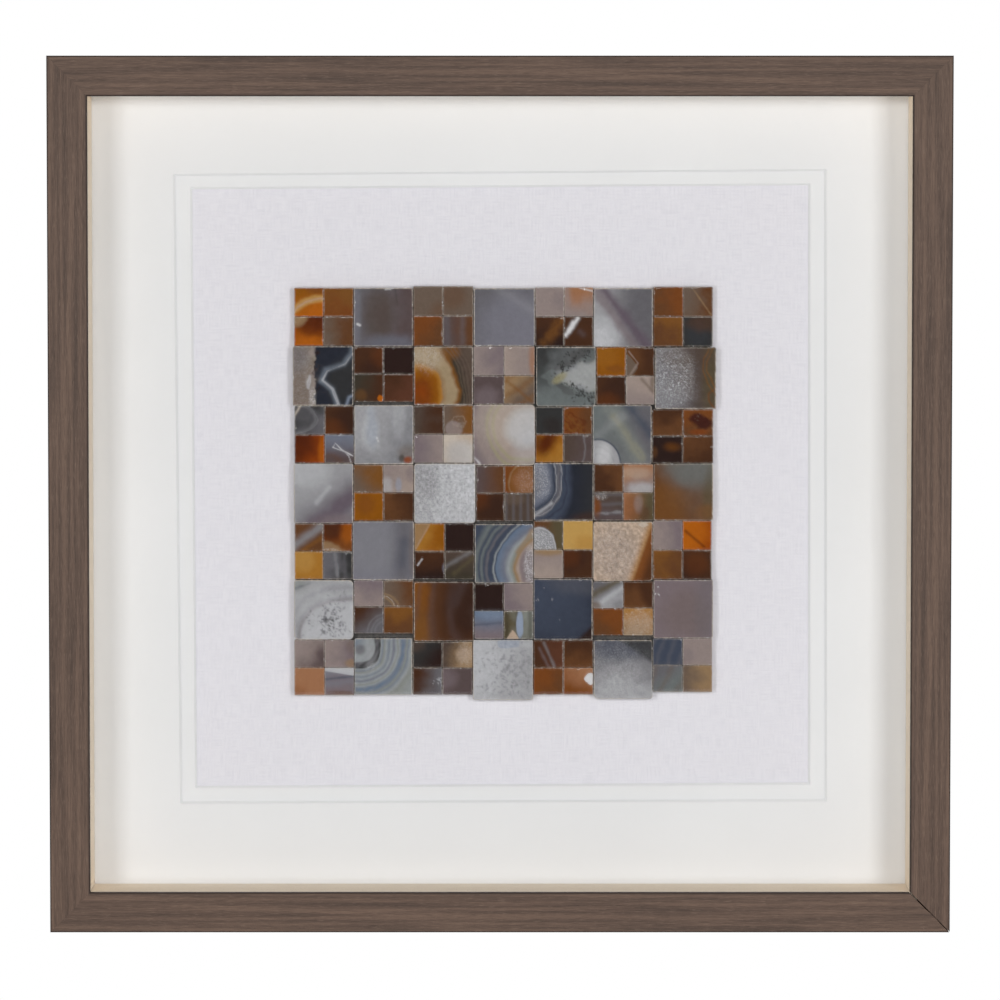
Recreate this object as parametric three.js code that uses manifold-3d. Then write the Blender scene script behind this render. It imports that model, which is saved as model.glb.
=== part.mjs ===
// A framed shadow box with a mosaic of agate stones, as a three.js scene graph.
//
// The frame is four mitred wood rails. Behind their lip lie, from the front: a sheet of
// glazing, spacer strips along the four sides, two mats with bevel-cut windows, a
// linen-covered board that carries the stones, and a backing board. A hanging cleat
// crosses the recess at the back. The stones form a checker of seven by seven cells:
// a cell holds one large stone where its row and column add up to an odd number, and
// four small stones elsewhere.
//
// Millimetres, +Z up, the front looks towards -Y. The origin is the middle of the
// cleat's back face, which lies in the plane of the wall.

import * as THREE from "three";
import { mergeVertices } from "three/addons/utils/BufferGeometryUtils.js";
import Module from "manifold-3d";

const wasm = await Module();
wasm.setup();

// Frame
const FRAME_WIDTH = 611.2;
const FRAME_HEIGHT = 594.2;
const RAIL_WIDTH = 27.3; // across a rail's face
const RAIL_BEVEL = 1; // eased front edges
const LIP_WIDTH = 6; // how far the lip reaches over the glazing
const LIP_THICKNESS = 4;
const MITRE_GAP = 0.3; // between the cut faces of a closed corner
const OPEN_MITRE_GAP = 0.9; // the lower right corner has come apart a little

// What lies behind the lip, from the front
const CONTACT_GAP = 0.3; // between pieces that touch
const GLAZING_THICKNESS = 2;
const SPACER_DEPTH = 44; // front to back
const SPACER_THICKNESS = 5.4;
const OUTER_MAT_THICKNESS = 1.5;
const INNER_MAT_THICKNESS = 1.5;
const LINEN_BOARD_THICKNESS = 4;
const BACKING_THICKNESS = 3;
const WALL_RECESS = 9; // hollow behind the backing board

// Windows of the mats, as cut at the front face of each mat. The cuts aren't quite
// square: each skew is how far a corner lies from its rectangle, as [x, z].
const OUTER_WINDOW = {
  width: 445.1,
  height: 433.2,
  x: 1.05,
  z: 2.4,
  skew: {
    topLeft: [-1.7, -1.7],
    topRight: [-0.7, 1.7],
    bottomRight: [1.1, 0.8],
    bottomLeft: [1.6, -0.8],
  },
};
const INNER_WINDOW = {
  width: 423.3,
  height: 412.5,
  x: 1,
  z: 3.2,
  skew: {
    topLeft: [-1, -1.3],
    topRight: [-0.6, 1.5],
    bottomRight: [0.6, 1],
    bottomLeft: [1, -1.4],
  },
};

// Mosaic
const CELLS = 7; // along each side
const CELL_WIDTH = 40.97;
const CELL_HEIGHT = 39.88;
const MOSAIC_X = 2.4; // its middle, from the middle of the frame
const MOSAIC_Z = -0.1;
const STONE_JOINT = 0.7; // mean gap between neighbouring cells
const JOINT_WANDER = 0.3; // how far the hand-set joints stray
const LARGE_STONE_THICKNESS = 8;
const SMALL_STONE_THICKNESS = 6.5;
const STONE_BEVEL = 0.6; // ground edge
const LARGE_CORNER_CUT = 1.6;
const SMALL_CORNER_CUT = 0.7;
const SEAM_OVERLAP = 0.1; // small stones of one cell touch by this much
const CORNER_CONTACT = 0.8; // width of the touching corners of two cells in one node
// Stones that sit off their place: how far the sides of a cell are moved, +x and +z.
const OFF_PLACE = {
  r1_c1: { top: 0.4 },
  r1_c3: { top: 1 },
  r1_c4: { right: 0.7 },
  r1_c5: { left: 0.7, top: 0.8 },
  r1_c6: { bottom: -0.7 },
  r1_c7: { right: -0.4, top: 0.6 },
  r2_c1: { left: -0.8, bottom: -1 },
  r2_c2: { bottom: 1.6 },
  r2_c4: { right: 0.7 },
  r2_c5: { left: 1.4, right: 2, bottom: -1.2 },
  r2_c6: { left: 2.1, right: 0.7, top: -0.7 },
  r2_c7: { left: 0.7, right: 2.3, bottom: -3.3, top: -0.3 },
  r3_c1: { left: 0.6, top: -1 },
  r3_c2: { bottom: -1, top: -0.3 },
  r3_c3: { bottom: -0.4 },
  r3_c4: { right: 0.9, bottom: -2 },
  r3_c5: { left: 0.9, right: -0.7, top: -1.3 },
  r3_c6: { left: -0.7, right: -0.7, bottom: -0.7 },
  r3_c7: { left: -0.7, top: -3.4 },
  r4_c1: { bottom: -1.4 },
  r4_c2: { right: 0.4, top: -1.1 },
  r4_c3: { left: 0.4, right: 1.5, bottom: -1.5, top: -0.5 },
  r4_c4: { left: 1.6, bottom: -0.4, top: -2.1 },
  r4_c6: { top: -0.7 },
  r5_c1: { right: -1.3, bottom: -0.5, top: -1.5 },
  r5_c2: { left: -1.3, bottom: -0.8 },
  r5_c3: { right: 0.4, top: -1.5 },
  r5_c4: { left: 0.5, bottom: -2.6, top: -2 },
  r5_c6: { bottom: -1.4, top: -0.5 },
  r5_c7: { right: -0.5 },
  r6_c1: { left: -0.4, bottom: -1.9, top: -0.7 },
  r6_c2: { bottom: 2.5, top: -0.8 },
  r6_c3: { bottom: -3, top: -1.3 },
  r6_c4: { bottom: -1.2, top: -2.7 },
  r6_c5: { bottom: -2.1 },
  r6_c6: { bottom: 1.3, top: -1.5 },
  r6_c7: { bottom: -1 },
  r7_c1: { top: -2 },
  r7_c2: { right: -0.7, top: -0.3 },
  r7_c3: { left: -0.7, right: -0.7, top: -3.2 },
  r7_c4: { left: -0.7, bottom: -3.2, top: -1.4 },
  r7_c5: { top: -2.2 },
  r7_c6: { bottom: -2.7, top: -1.5 },
  r7_c7: { right: -0.4, bottom: 2.2, top: -1 },
};
// Rows and columns of the groups of small stones that share a node with the group below
// and to the right.
const JOINED_GROUPS = [
  [1, 1],
  [1, 3],
  [5, 5],
];

// Hanging cleat
const CLEAT_LENGTH = 380;
const CLEAT_HEIGHT = 42;
const CLEAT_BEVEL = 7; // the lower edge is undercut by this much, to hook over its partner
const CLEAT_BELOW_TOP = 75; // middle of the cleat below the frame's top edge

// Derived places. Depth runs along +Y from the frame's front face to the wall at y = 0.
const RAIL_DEPTH =
  LIP_THICKNESS +
  GLAZING_THICKNESS +
  SPACER_DEPTH +
  OUTER_MAT_THICKNESS +
  INNER_MAT_THICKNESS +
  LINEN_BOARD_THICKNESS +
  BACKING_THICKNESS +
  6 * CONTACT_GAP +
  WALL_RECESS;
const FRONT = -RAIL_DEPTH;
const GLAZING_Y = FRONT + LIP_THICKNESS + CONTACT_GAP;
const SPACER_Y = GLAZING_Y + GLAZING_THICKNESS + CONTACT_GAP;
const OUTER_MAT_Y = SPACER_Y + SPACER_DEPTH + CONTACT_GAP;
const INNER_MAT_Y = OUTER_MAT_Y + OUTER_MAT_THICKNESS + CONTACT_GAP;
const LINEN_BOARD_Y = INNER_MAT_Y + INNER_MAT_THICKNESS + CONTACT_GAP;
const BACKING_Y = LINEN_BOARD_Y + LINEN_BOARD_THICKNESS + CONTACT_GAP;
const FRAME_Z = CLEAT_BELOW_TOP - FRAME_HEIGHT / 2; // height of the frame's middle
const RABBET_WIDTH = FRAME_WIDTH - 2 * (RAIL_WIDTH - LIP_WIDTH);
const RABBET_HEIGHT = FRAME_HEIGHT - 2 * (RAIL_WIDTH - LIP_WIDTH);
const SHEET_WIDTH = RABBET_WIDTH - 2 * CONTACT_GAP; // of all that lies in the rabbet
const SHEET_HEIGHT = RABBET_HEIGHT - 2 * CONTACT_GAP;

const materials = {
  rail: new THREE.MeshStandardMaterial({ color: 0x6a584c, roughness: 0.65 }),
  glazing: new THREE.MeshStandardMaterial({
    color: 0xf2f6f5,
    roughness: 0.05,
    transparent: true,
    opacity: 0.15,
  }),
  spacer: new THREE.MeshStandardMaterial({ color: 0xd9ccbd, roughness: 0.8 }),
  mat: new THREE.MeshStandardMaterial({ color: 0xe8e7e4, roughness: 0.9 }),
  linen: new THREE.MeshStandardMaterial({ color: 0xdddce2, roughness: 0.95 }),
  backing: new THREE.MeshStandardMaterial({ color: 0x8a6f52, roughness: 0.85 }),
  cleat: new THREE.MeshStandardMaterial({ color: 0xb99a70, roughness: 0.7 }),
  largeStone: new THREE.MeshStandardMaterial({ color: 0x8c8f94, roughness: 0.25 }),
  smallStone: new THREE.MeshStandardMaterial({ color: 0x6d5040, roughness: 0.25 }),
};

const panel = new THREE.Group();

function addMesh(name, geometry, material) {
  const mesh = new THREE.Mesh(geometry, material);
  mesh.name = name;
  panel.add(mesh);
  return mesh;
}

// A closed mesh as a solid that can be joined and cut.
function solidOf(geometry) {
  const bare = geometry.clone();
  bare.deleteAttribute("normal");
  bare.deleteAttribute("uv");
  const merged = mergeVertices(bare, 1e-4);
  return new wasm.Manifold(
    new wasm.Mesh({
      numProp: 3,
      vertProperties: merged.attributes.position.array,
      triVerts: new Uint32Array(merged.index.array),
    }),
  );
}

function geometryOf(solid) {
  const mesh = solid.getMesh();
  const geometry = new THREE.BufferGeometry();
  geometry.setAttribute("position", new THREE.BufferAttribute(mesh.vertProperties, 3));
  geometry.setIndex(new THREE.BufferAttribute(mesh.triVerts, 1));
  geometry.computeVertexNormals();
  return geometry;
}

// A flat sheet that fills the rabbet, with its front face at the given depth.
function sheet(thickness, frontY) {
  const geometry = new THREE.BoxGeometry(SHEET_WIDTH, thickness, SHEET_HEIGHT);
  return geometry.translate(0, frontY + thickness / 2, FRAME_Z);
}

// Section of a rail: x runs from the outer edge inwards, y from the front to the back.
function railSection() {
  const section = new THREE.Shape();
  section.moveTo(0, RAIL_BEVEL);
  section.lineTo(RAIL_BEVEL, 0);
  section.lineTo(RAIL_WIDTH - RAIL_BEVEL, 0);
  section.lineTo(RAIL_WIDTH, RAIL_BEVEL);
  section.lineTo(RAIL_WIDTH, LIP_THICKNESS);
  section.lineTo(RAIL_WIDTH - LIP_WIDTH, LIP_THICKNESS);
  section.lineTo(RAIL_WIDTH - LIP_WIDTH, RAIL_DEPTH);
  section.lineTo(0, RAIL_DEPTH);
  section.closePath();
  return section;
}

// A rail lying along its own z, with both ends cut back by as much as the section reaches
// inwards, which is a mitre of 45 degrees, and by its share of the gap at each corner.
function railGeometry(length, startGap, endGap) {
  const geometry = new THREE.ExtrudeGeometry(railSection(), { depth: length, bevelEnabled: false });
  const position = geometry.attributes.position;
  for (let i = 0; i < position.count; i++) {
    const z = position.getZ(i);
    const inwards = position.getX(i);
    const start = z < length / 2;
    const gap = start ? startGap : endGap;
    const setback = inwards + gap / Math.SQRT2;
    position.setZ(i, start ? z + setback : z - setback);
  }
  geometry.computeVertexNormals();
  return geometry;
}

// A rail that starts at a corner of the frame: atRight and atTop are 1 or -1. It is turned
// about Y by quarter turns, so that its inner edge faces the middle of the frame.
function addRail(name, quarterTurns, length, [atRight, atTop], [startGap, endGap]) {
  const rail = addMesh("rail_" + name, railGeometry(length, startGap, endGap), materials.rail);
  rail.rotation.y = (quarterTurns * Math.PI) / 2;
  rail.position.set((atRight * FRAME_WIDTH) / 2, FRONT, FRAME_Z + (atTop * FRAME_HEIGHT) / 2);
}

function addRails() {
  addRail("left", 0, FRAME_HEIGHT, [-1, -1], [MITRE_GAP, MITRE_GAP]);
  addRail("bottom", -1, FRAME_WIDTH, [1, -1], [OPEN_MITRE_GAP, MITRE_GAP]);
  addRail("right", 2, FRAME_HEIGHT, [1, 1], [MITRE_GAP, OPEN_MITRE_GAP]);
  addRail("top", 1, FRAME_WIDTH, [-1, 1], [MITRE_GAP, MITRE_GAP]);
}

// The strips above and below run the full width, the ones at the sides fit between them.
function addSpacers() {
  const y = SPACER_Y + SPACER_DEPTH / 2;
  const sideX = (SHEET_WIDTH - SPACER_THICKNESS) / 2;
  const topZ = (SHEET_HEIGHT - SPACER_THICKNESS) / 2;
  const sideHeight = SHEET_HEIGHT - 2 * (SPACER_THICKNESS + CONTACT_GAP);
  for (const [name, sign] of [["top", 1], ["bottom", -1]]) {
    const box = new THREE.BoxGeometry(SHEET_WIDTH, SPACER_DEPTH, SPACER_THICKNESS);
    const strip = addMesh("spacer_" + name, box, materials.spacer);
    strip.position.set(0, y, FRAME_Z + sign * topZ);
  }
  for (const [name, sign] of [["right", 1], ["left", -1]]) {
    const box = new THREE.BoxGeometry(SPACER_THICKNESS, SPACER_DEPTH, sideHeight);
    const strip = addMesh("spacer_" + name, box, materials.spacer);
    strip.position.set(sign * sideX, y, FRAME_Z);
  }
}

// The body that is cut out of a mat: a box whose corners are moved to the window's, wider
// towards the front, so that its sides leave a bevel of 45 degrees.
function windowCutter(window, thickness, frontY) {
  const cutter = new THREE.BoxGeometry(1, 1, 1);
  const position = cutter.attributes.position;
  for (let i = 0; i < position.count; i++) {
    const right = position.getX(i) > 0;
    const top = position.getZ(i) > 0;
    const front = position.getY(i) < 0;
    const [skewX, skewZ] = window.skew[(top ? "top" : "bottom") + (right ? "Right" : "Left")];
    const y = front ? frontY - thickness : frontY + 2 * thickness;
    const widening = frontY - y;
    const x = window.x + skewX + (right ? 1 : -1) * (window.width / 2 + widening);
    const z = window.z + skewZ + (top ? 1 : -1) * (window.height / 2 + widening);
    position.setXYZ(i, x, y, FRAME_Z + z);
  }
  return cutter;
}

function addMat(name, window, thickness, frontY) {
  const board = solidOf(sheet(thickness, frontY));
  const cutter = solidOf(windowCutter(window, thickness, frontY));
  addMesh(name, geometryOf(board.subtract(cutter)), materials.mat);
}

// A joint's stray from its place, the same on both sides of the joint: a smooth mix that
// looks random, between -1 and 1 times the wander.
function wander(line, along, direction) {
  return JOINT_WANDER * Math.sin(12.9 * line + 7.7 * along + 4.1 * direction + 1.3 * line * along);
}

// A cell's rectangle, between the middles of the joints around it.
function cellBounds(row, column) {
  const left = MOSAIC_X - (CELLS * CELL_WIDTH) / 2;
  const top = FRAME_Z + MOSAIC_Z + (CELLS * CELL_HEIGHT) / 2;
  const off = OFF_PLACE["r" + row + "_c" + column] ?? {};
  return {
    left: left + (column - 1) * CELL_WIDTH + wander(column - 1, row, 0) + (off.left ?? 0),
    right: left + column * CELL_WIDTH + wander(column, row, 0) + (off.right ?? 0),
    top: top - (row - 1) * CELL_HEIGHT + wander(row - 1, column, 1) + (off.top ?? 0),
    bottom: top - row * CELL_HEIGHT + wander(row, column, 1) + (off.bottom ?? 0),
  };
}

// A stone: a rectangle with its corners cut, and a ground edge all round at the front and
// the back. cuts are those of the corners bottom left, bottom right, top right, top left.
function stoneGeometry(bounds, thickness, cuts) {
  const { left, right, bottom, top } = bounds;
  const [a, b, c, d] = cuts;
  const outline = new THREE.Shape();
  outline.moveTo(left + a, bottom);
  outline.lineTo(right - b, bottom);
  outline.lineTo(right, bottom + b);
  outline.lineTo(right, top - c);
  outline.lineTo(right - c, top);
  outline.lineTo(left + d, top);
  outline.lineTo(left, top - d);
  outline.lineTo(left, bottom + a);
  outline.closePath();
  const geometry = new THREE.ExtrudeGeometry(outline, {
    depth: thickness - 2 * STONE_BEVEL,
    bevelThickness: STONE_BEVEL,
    bevelSize: STONE_BEVEL,
    bevelOffset: -STONE_BEVEL,
    bevelSegments: 1,
  });
  // The outline was drawn in x and y. Turned up, its second axis is z, and it stands out
  // towards -Y from the linen.
  geometry.rotateX(Math.PI / 2);
  geometry.translate(0, LINEN_BOARD_Y - CONTACT_GAP - STONE_BEVEL, 0);
  return geometry;
}

function inset(bounds, amount) {
  return {
    left: bounds.left + amount,
    right: bounds.right - amount,
    bottom: bounds.bottom + amount,
    top: bounds.top - amount,
  };
}

function addLargeStone(row, column) {
  const bounds = inset(cellBounds(row, column), STONE_JOINT / 2);
  const cuts = Array(4).fill(LARGE_CORNER_CUT);
  const geometry = stoneGeometry(bounds, LARGE_STONE_THICKNESS, cuts);
  addMesh("stone_r" + row + "_c" + column, geometry, materials.largeStone);
}

// Four small stones of one cell, joined along the seams where they touch.
function smallStones(row, column) {
  const bounds = inset(cellBounds(row, column), STONE_JOINT / 2);
  const seamX = (bounds.left + bounds.right) / 2 + wander(row, column, 2);
  const seamZ = (bounds.top + bounds.bottom) / 2 + wander(row, column, 3);
  const reach = SEAM_OVERLAP / 2;
  let group = null;
  for (const isRight of [0, 1]) {
    for (const isTop of [0, 1]) {
      const own = { ...bounds };
      if (isRight) own.left = seamX - reach;
      else own.right = seamX + reach;
      if (isTop) own.bottom = seamZ - reach;
      else own.top = seamZ + reach;
      // The corner of the stone that is also the cell's corner has the larger cut.
      const cuts = Array(4).fill(STONE_BEVEL);
      cuts[[[0, 3], [1, 2]][isRight][isTop]] = SMALL_CORNER_CUT;
      const stone = solidOf(stoneGeometry(own, SMALL_STONE_THICKNESS, cuts));
      group = group ? group.add(stone) : stone;
    }
  }
  return group;
}

// The two touching corners of groups that meet diagonally.
function cornerContact(row, column) {
  const upper = cellBounds(row, column);
  const lower = cellBounds(row + 1, column + 1);
  const x = (upper.right + lower.left) / 2;
  const z = (upper.bottom + lower.top) / 2;
  const length = 4 * (STONE_JOINT / 2 + SMALL_CORNER_CUT);
  const height = SMALL_STONE_THICKNESS - 2 * STONE_BEVEL;
  const bar = new THREE.BoxGeometry(length, height, CORNER_CONTACT);
  bar.rotateY(Math.PI / 4);
  bar.translate(x, LINEN_BOARD_Y - CONTACT_GAP - SMALL_STONE_THICKNESS / 2, z);
  return solidOf(bar);
}

function isJoined(row, column) {
  return JOINED_GROUPS.some((group) => group[0] === row && group[1] === column);
}

function addSmallStones() {
  for (let row = 1; row <= CELLS; row++) {
    for (let column = 1; column <= CELLS; column++) {
      const isSmall = (row + column) % 2 === 0;
      if (!isSmall || isJoined(row - 1, column - 1)) continue;
      let name = "small_stones_r" + row + "_c" + column;
      let group = smallStones(row, column);
      if (isJoined(row, column)) {
        name += "_r" + (row + 1) + "_c" + (column + 1);
        group = group.add(cornerContact(row, column)).add(smallStones(row + 1, column + 1));
      }
      addMesh(name, geometryOf(group), materials.smallStone);
    }
  }
}

function addLargeStones() {
  for (let row = 1; row <= CELLS; row++) {
    for (let column = 1; column <= CELLS; column++) {
      if ((row + column) % 2 === 1) addLargeStone(row, column);
    }
  }
}

// The cleat's section, with x as the depth behind the wall plane and y as the height. Its
// lower edge slopes up towards the backing board and hooks over a like strip on the wall.
function addCleat() {
  const thickness = WALL_RECESS - CONTACT_GAP;
  const section = new THREE.Shape();
  section.moveTo(0, -CLEAT_HEIGHT / 2);
  section.lineTo(thickness, -CLEAT_HEIGHT / 2 + CLEAT_BEVEL);
  section.lineTo(thickness, CLEAT_HEIGHT / 2);
  section.lineTo(0, CLEAT_HEIGHT / 2);
  section.closePath();
  const geometry = new THREE.ExtrudeGeometry(section, { depth: CLEAT_LENGTH, bevelEnabled: false });
  // Turned so that the section's x runs forwards, towards -Y, and the length along X.
  geometry.translate(0, 0, -CLEAT_LENGTH / 2);
  const forwards = new THREE.Vector3(0, -1, 0);
  const up = new THREE.Vector3(0, 0, 1);
  const sideways = new THREE.Vector3(-1, 0, 0);
  geometry.applyMatrix4(new THREE.Matrix4().makeBasis(forwards, up, sideways));
  addMesh("hanging_cleat", geometry, materials.cleat);
}

addRails();
addMesh("glazing", sheet(GLAZING_THICKNESS, GLAZING_Y), materials.glazing);
addSpacers();
addMat("outer_mat", OUTER_WINDOW, OUTER_MAT_THICKNESS, OUTER_MAT_Y);
addMat("inner_mat", INNER_WINDOW, INNER_MAT_THICKNESS, INNER_MAT_Y);
addMesh("linen_board", sheet(LINEN_BOARD_THICKNESS, LINEN_BOARD_Y), materials.linen);
addMesh("backing_board", sheet(BACKING_THICKNESS, BACKING_Y), materials.backing);
addCleat();
addLargeStones();
addSmallStones();

export default panel;
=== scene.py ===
# %% [markdown]
# # A mosaic panel of agate in a shadow box
#
# The real object is a deep wooden picture frame. Behind its glazing lie a double mat and
# a linen board, and on the linen sit 124 polished squares of agate, laid as a checker of
# large squares and of fours of small ones. Each cell below makes one kind of piece.
# Sizes are in metres, +Z is up, and the front of the panel looks towards -Y.

# %% Load the fixed frame
import math

import bpy
import numpy as np
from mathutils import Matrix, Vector


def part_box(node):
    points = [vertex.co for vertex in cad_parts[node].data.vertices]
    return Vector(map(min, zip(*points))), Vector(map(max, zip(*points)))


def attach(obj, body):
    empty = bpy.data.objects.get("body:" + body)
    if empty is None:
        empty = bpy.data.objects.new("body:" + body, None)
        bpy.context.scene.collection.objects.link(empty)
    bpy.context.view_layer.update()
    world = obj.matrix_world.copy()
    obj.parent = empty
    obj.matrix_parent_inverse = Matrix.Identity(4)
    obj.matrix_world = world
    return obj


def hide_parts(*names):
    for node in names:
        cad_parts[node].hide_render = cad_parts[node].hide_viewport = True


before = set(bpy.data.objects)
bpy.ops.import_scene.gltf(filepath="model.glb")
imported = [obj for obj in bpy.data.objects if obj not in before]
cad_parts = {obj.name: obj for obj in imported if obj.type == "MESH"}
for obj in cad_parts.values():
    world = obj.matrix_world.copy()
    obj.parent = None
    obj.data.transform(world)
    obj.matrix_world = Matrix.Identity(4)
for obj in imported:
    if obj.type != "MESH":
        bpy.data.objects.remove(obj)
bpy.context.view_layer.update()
MM = 0.001


def corners(node):
    """Lowest and highest corner of a CAD node, as two arrays."""
    low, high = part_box(node)
    return np.array(low, dtype=float), np.array(high, dtype=float)


outer_low = np.minimum(corners("rail_left")[0], corners("rail_bottom")[0])
outer_high = np.maximum(corners("rail_right")[1], corners("rail_top")[1])
FRONT_Y = outer_low[1]
MIDDLE_Z = (outer_low[2] + outer_high[2]) / 2
FRAME_WIDTH = 611.2 * MM
FRAME_HEIGHT = 594.2 * MM
print("frame from", outer_low, "to", outer_high)

# %% [markdown]
# The photographer stood a few metres away and looked slightly down: the upper edge of
# the frame is about one percent longer in the picture than the lower one, and the inner
# wall at the bottom shows while the one at the top doesn't. A long lens with the camera
# four metres off and three and a half degrees up gives both.

# %% Camera
CAMERA_DISTANCE = 4.0
CAMERA_ELEVATION = math.radians(3.55)
FOCAL_PIXELS = 5914.0  # focal length in pixels of a picture 1000 pixels wide
AIM_BELOW_MIDDLE = 2.66 * MM
SENSOR = 36.0

camera_data = bpy.data.cameras.new("camera")
camera_data.sensor_width = SENSOR
camera_data.lens = SENSOR * FOCAL_PIXELS / 1000
camera_data.clip_end = 50
camera = bpy.data.objects.new("camera", camera_data)
aim = np.array([0, FRONT_Y, MIDDLE_Z - AIM_BELOW_MIDDLE])
back_up = np.array([0, -math.cos(CAMERA_ELEVATION), math.sin(CAMERA_ELEVATION)])
camera.location = aim + CAMERA_DISTANCE * back_up
camera.rotation_euler = (math.pi / 2 - CAMERA_ELEVATION, 0, 0)
bpy.context.collection.objects.link(camera)
bpy.context.scene.camera = camera
print("camera at", tuple(camera.location))

# %% [markdown]
# Two tall soft boxes stand left and right of the camera. Each rail keeps one of them off
# the mat just behind it, which draws the soft grey bands at the left and the right. A
# wide light above the camera fills the rest and draws the narrow band at the top. Four
# weaker ones stand behind the panel's plane: they light its sides, top and back, and
# reach its face only by way of the floor. The world is white where the camera sees it,
# and dim where it lights the panel.

# %% Light and floor
SIDE_LIGHT_ANGLES = (math.radians(19), math.radians(31))
SIDE_LIGHT_DISTANCE = 2.6
LEFT_LIGHT_WATTS = 24.4
RIGHT_LIGHT_WATTS = 28.8
FRONT_LIGHT_WATTS = 18.6
FRONT_LIGHT_DISTANCE = 3.0
FRONT_LIGHT_HEIGHT = 0.5
WORLD_FILL = 0.082
REAR_LIGHTS = {  # place, with its height above the panel's middle, and watts
    "back_light": ((0, 2.6, 0.6), 12.0),
    "top_light": ((0, 0.6, 2.4), 4.0),
    "rim_light_left": ((-2.3, 0.5, 0.4), 6.0),
    "rim_light_right": ((2.3, 0.5, 0.4), 6.0),
}
REAR_LIGHT_SIZE = (1.0, 1.0)
FLOOR_BELOW = 0.35
FLOOR_RADIUS = 1.1
FLOOR_SIDES = 64


def aimed(light, place, target):
    """Turns a light so that its -Z axis points from its place to the target."""
    direction = np.array(target, dtype=float) - np.array(place, dtype=float)
    light.location = place
    light.rotation_euler = Vector(direction).to_track_quat("-Z", "Y").to_euler()


def area_light(name, place, size, watts):
    """A white rectangular light that faces the panel."""
    data = bpy.data.lights.new(name, "AREA")
    data.shape = "RECTANGLE"
    data.size, data.size_y = size
    data.energy = watts
    light = bpy.data.objects.new(name, data)
    bpy.context.collection.objects.link(light)
    aimed(light, place, (0, FRONT_Y, MIDDLE_Z))
    return light


inner, outer = (SIDE_LIGHT_DISTANCE * math.tan(a) for a in SIDE_LIGHT_ANGLES)
sides = (("soft_box_left", -1, LEFT_LIGHT_WATTS), ("soft_box_right", 1, RIGHT_LIGHT_WATTS))
for name, sign, watts in sides:
    place = (sign * (inner + outer) / 2, FRONT_Y - SIDE_LIGHT_DISTANCE, MIDDLE_Z + 0.1)
    area_light(name, place, (outer - inner, 1.3), watts)
front_place = (0, FRONT_Y - FRONT_LIGHT_DISTANCE, MIDDLE_Z + FRONT_LIGHT_HEIGHT)
area_light("front_light", front_place, (1.0, 0.3), FRONT_LIGHT_WATTS)
for name, ((x, y, height), watts) in REAR_LIGHTS.items():
    area_light(name, (x, y, MIDDLE_Z + height), REAR_LIGHT_SIZE, watts)

world = bpy.data.worlds.new("studio")
bpy.context.scene.world = world
world.use_nodes = True
wn, wl = world.node_tree.nodes, world.node_tree.links
wn.clear()
seen = wn.new("ShaderNodeBackground")
seen.inputs["Color"].default_value = (1, 1, 1, 1)
seen.inputs["Strength"].default_value = 1.0
fill = wn.new("ShaderNodeBackground")
fill.inputs["Color"].default_value = (1, 0.96, 0.9, 1)
fill.inputs["Strength"].default_value = WORLD_FILL
path = wn.new("ShaderNodeLightPath")
choice = wn.new("ShaderNodeMixShader")
world_out = wn.new("ShaderNodeOutputWorld")
wl.new(path.outputs["Is Camera Ray"], choice.inputs[0])
wl.new(fill.outputs[0], choice.inputs[1])
wl.new(seen.outputs[0], choice.inputs[2])
wl.new(choice.outputs[0], world_out.inputs["Surface"])
bpy.context.scene.view_settings.view_transform = "Standard"


# %% Helper: a mesh object from arrays
def mesh_object(name, points, faces, smooth=False):
    """A mesh object at the origin, with its place in its points."""
    mesh = bpy.data.meshes.new(name)
    mesh.from_pydata(np.asarray(points, dtype=float).tolist(), [], faces)
    mesh.validate()
    mesh.update()
    if smooth:
        mesh.polygons.foreach_set("use_smooth", np.ones(len(mesh.polygons), dtype=bool))
    obj = bpy.data.objects.new(name, mesh)
    bpy.context.collection.objects.link(obj)
    return obj


angle = np.linspace(0, 2 * math.pi, FLOOR_SIDES, endpoint=False)
floor_z = outer_low[2] - FLOOR_BELOW
floor_points = np.stack(
    [FLOOR_RADIUS * np.cos(angle), FLOOR_RADIUS * np.sin(angle), np.full(FLOOR_SIDES, floor_z)], axis=1
)
floor = mesh_object("floor", floor_points, [list(range(FLOOR_SIDES))])

# %% [markdown]
# Every finish below is a Principled shader whose colour, roughness and bump come from
# noise, wave and voronoi textures. A small wrapper keeps each recipe to a few lines.


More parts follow.
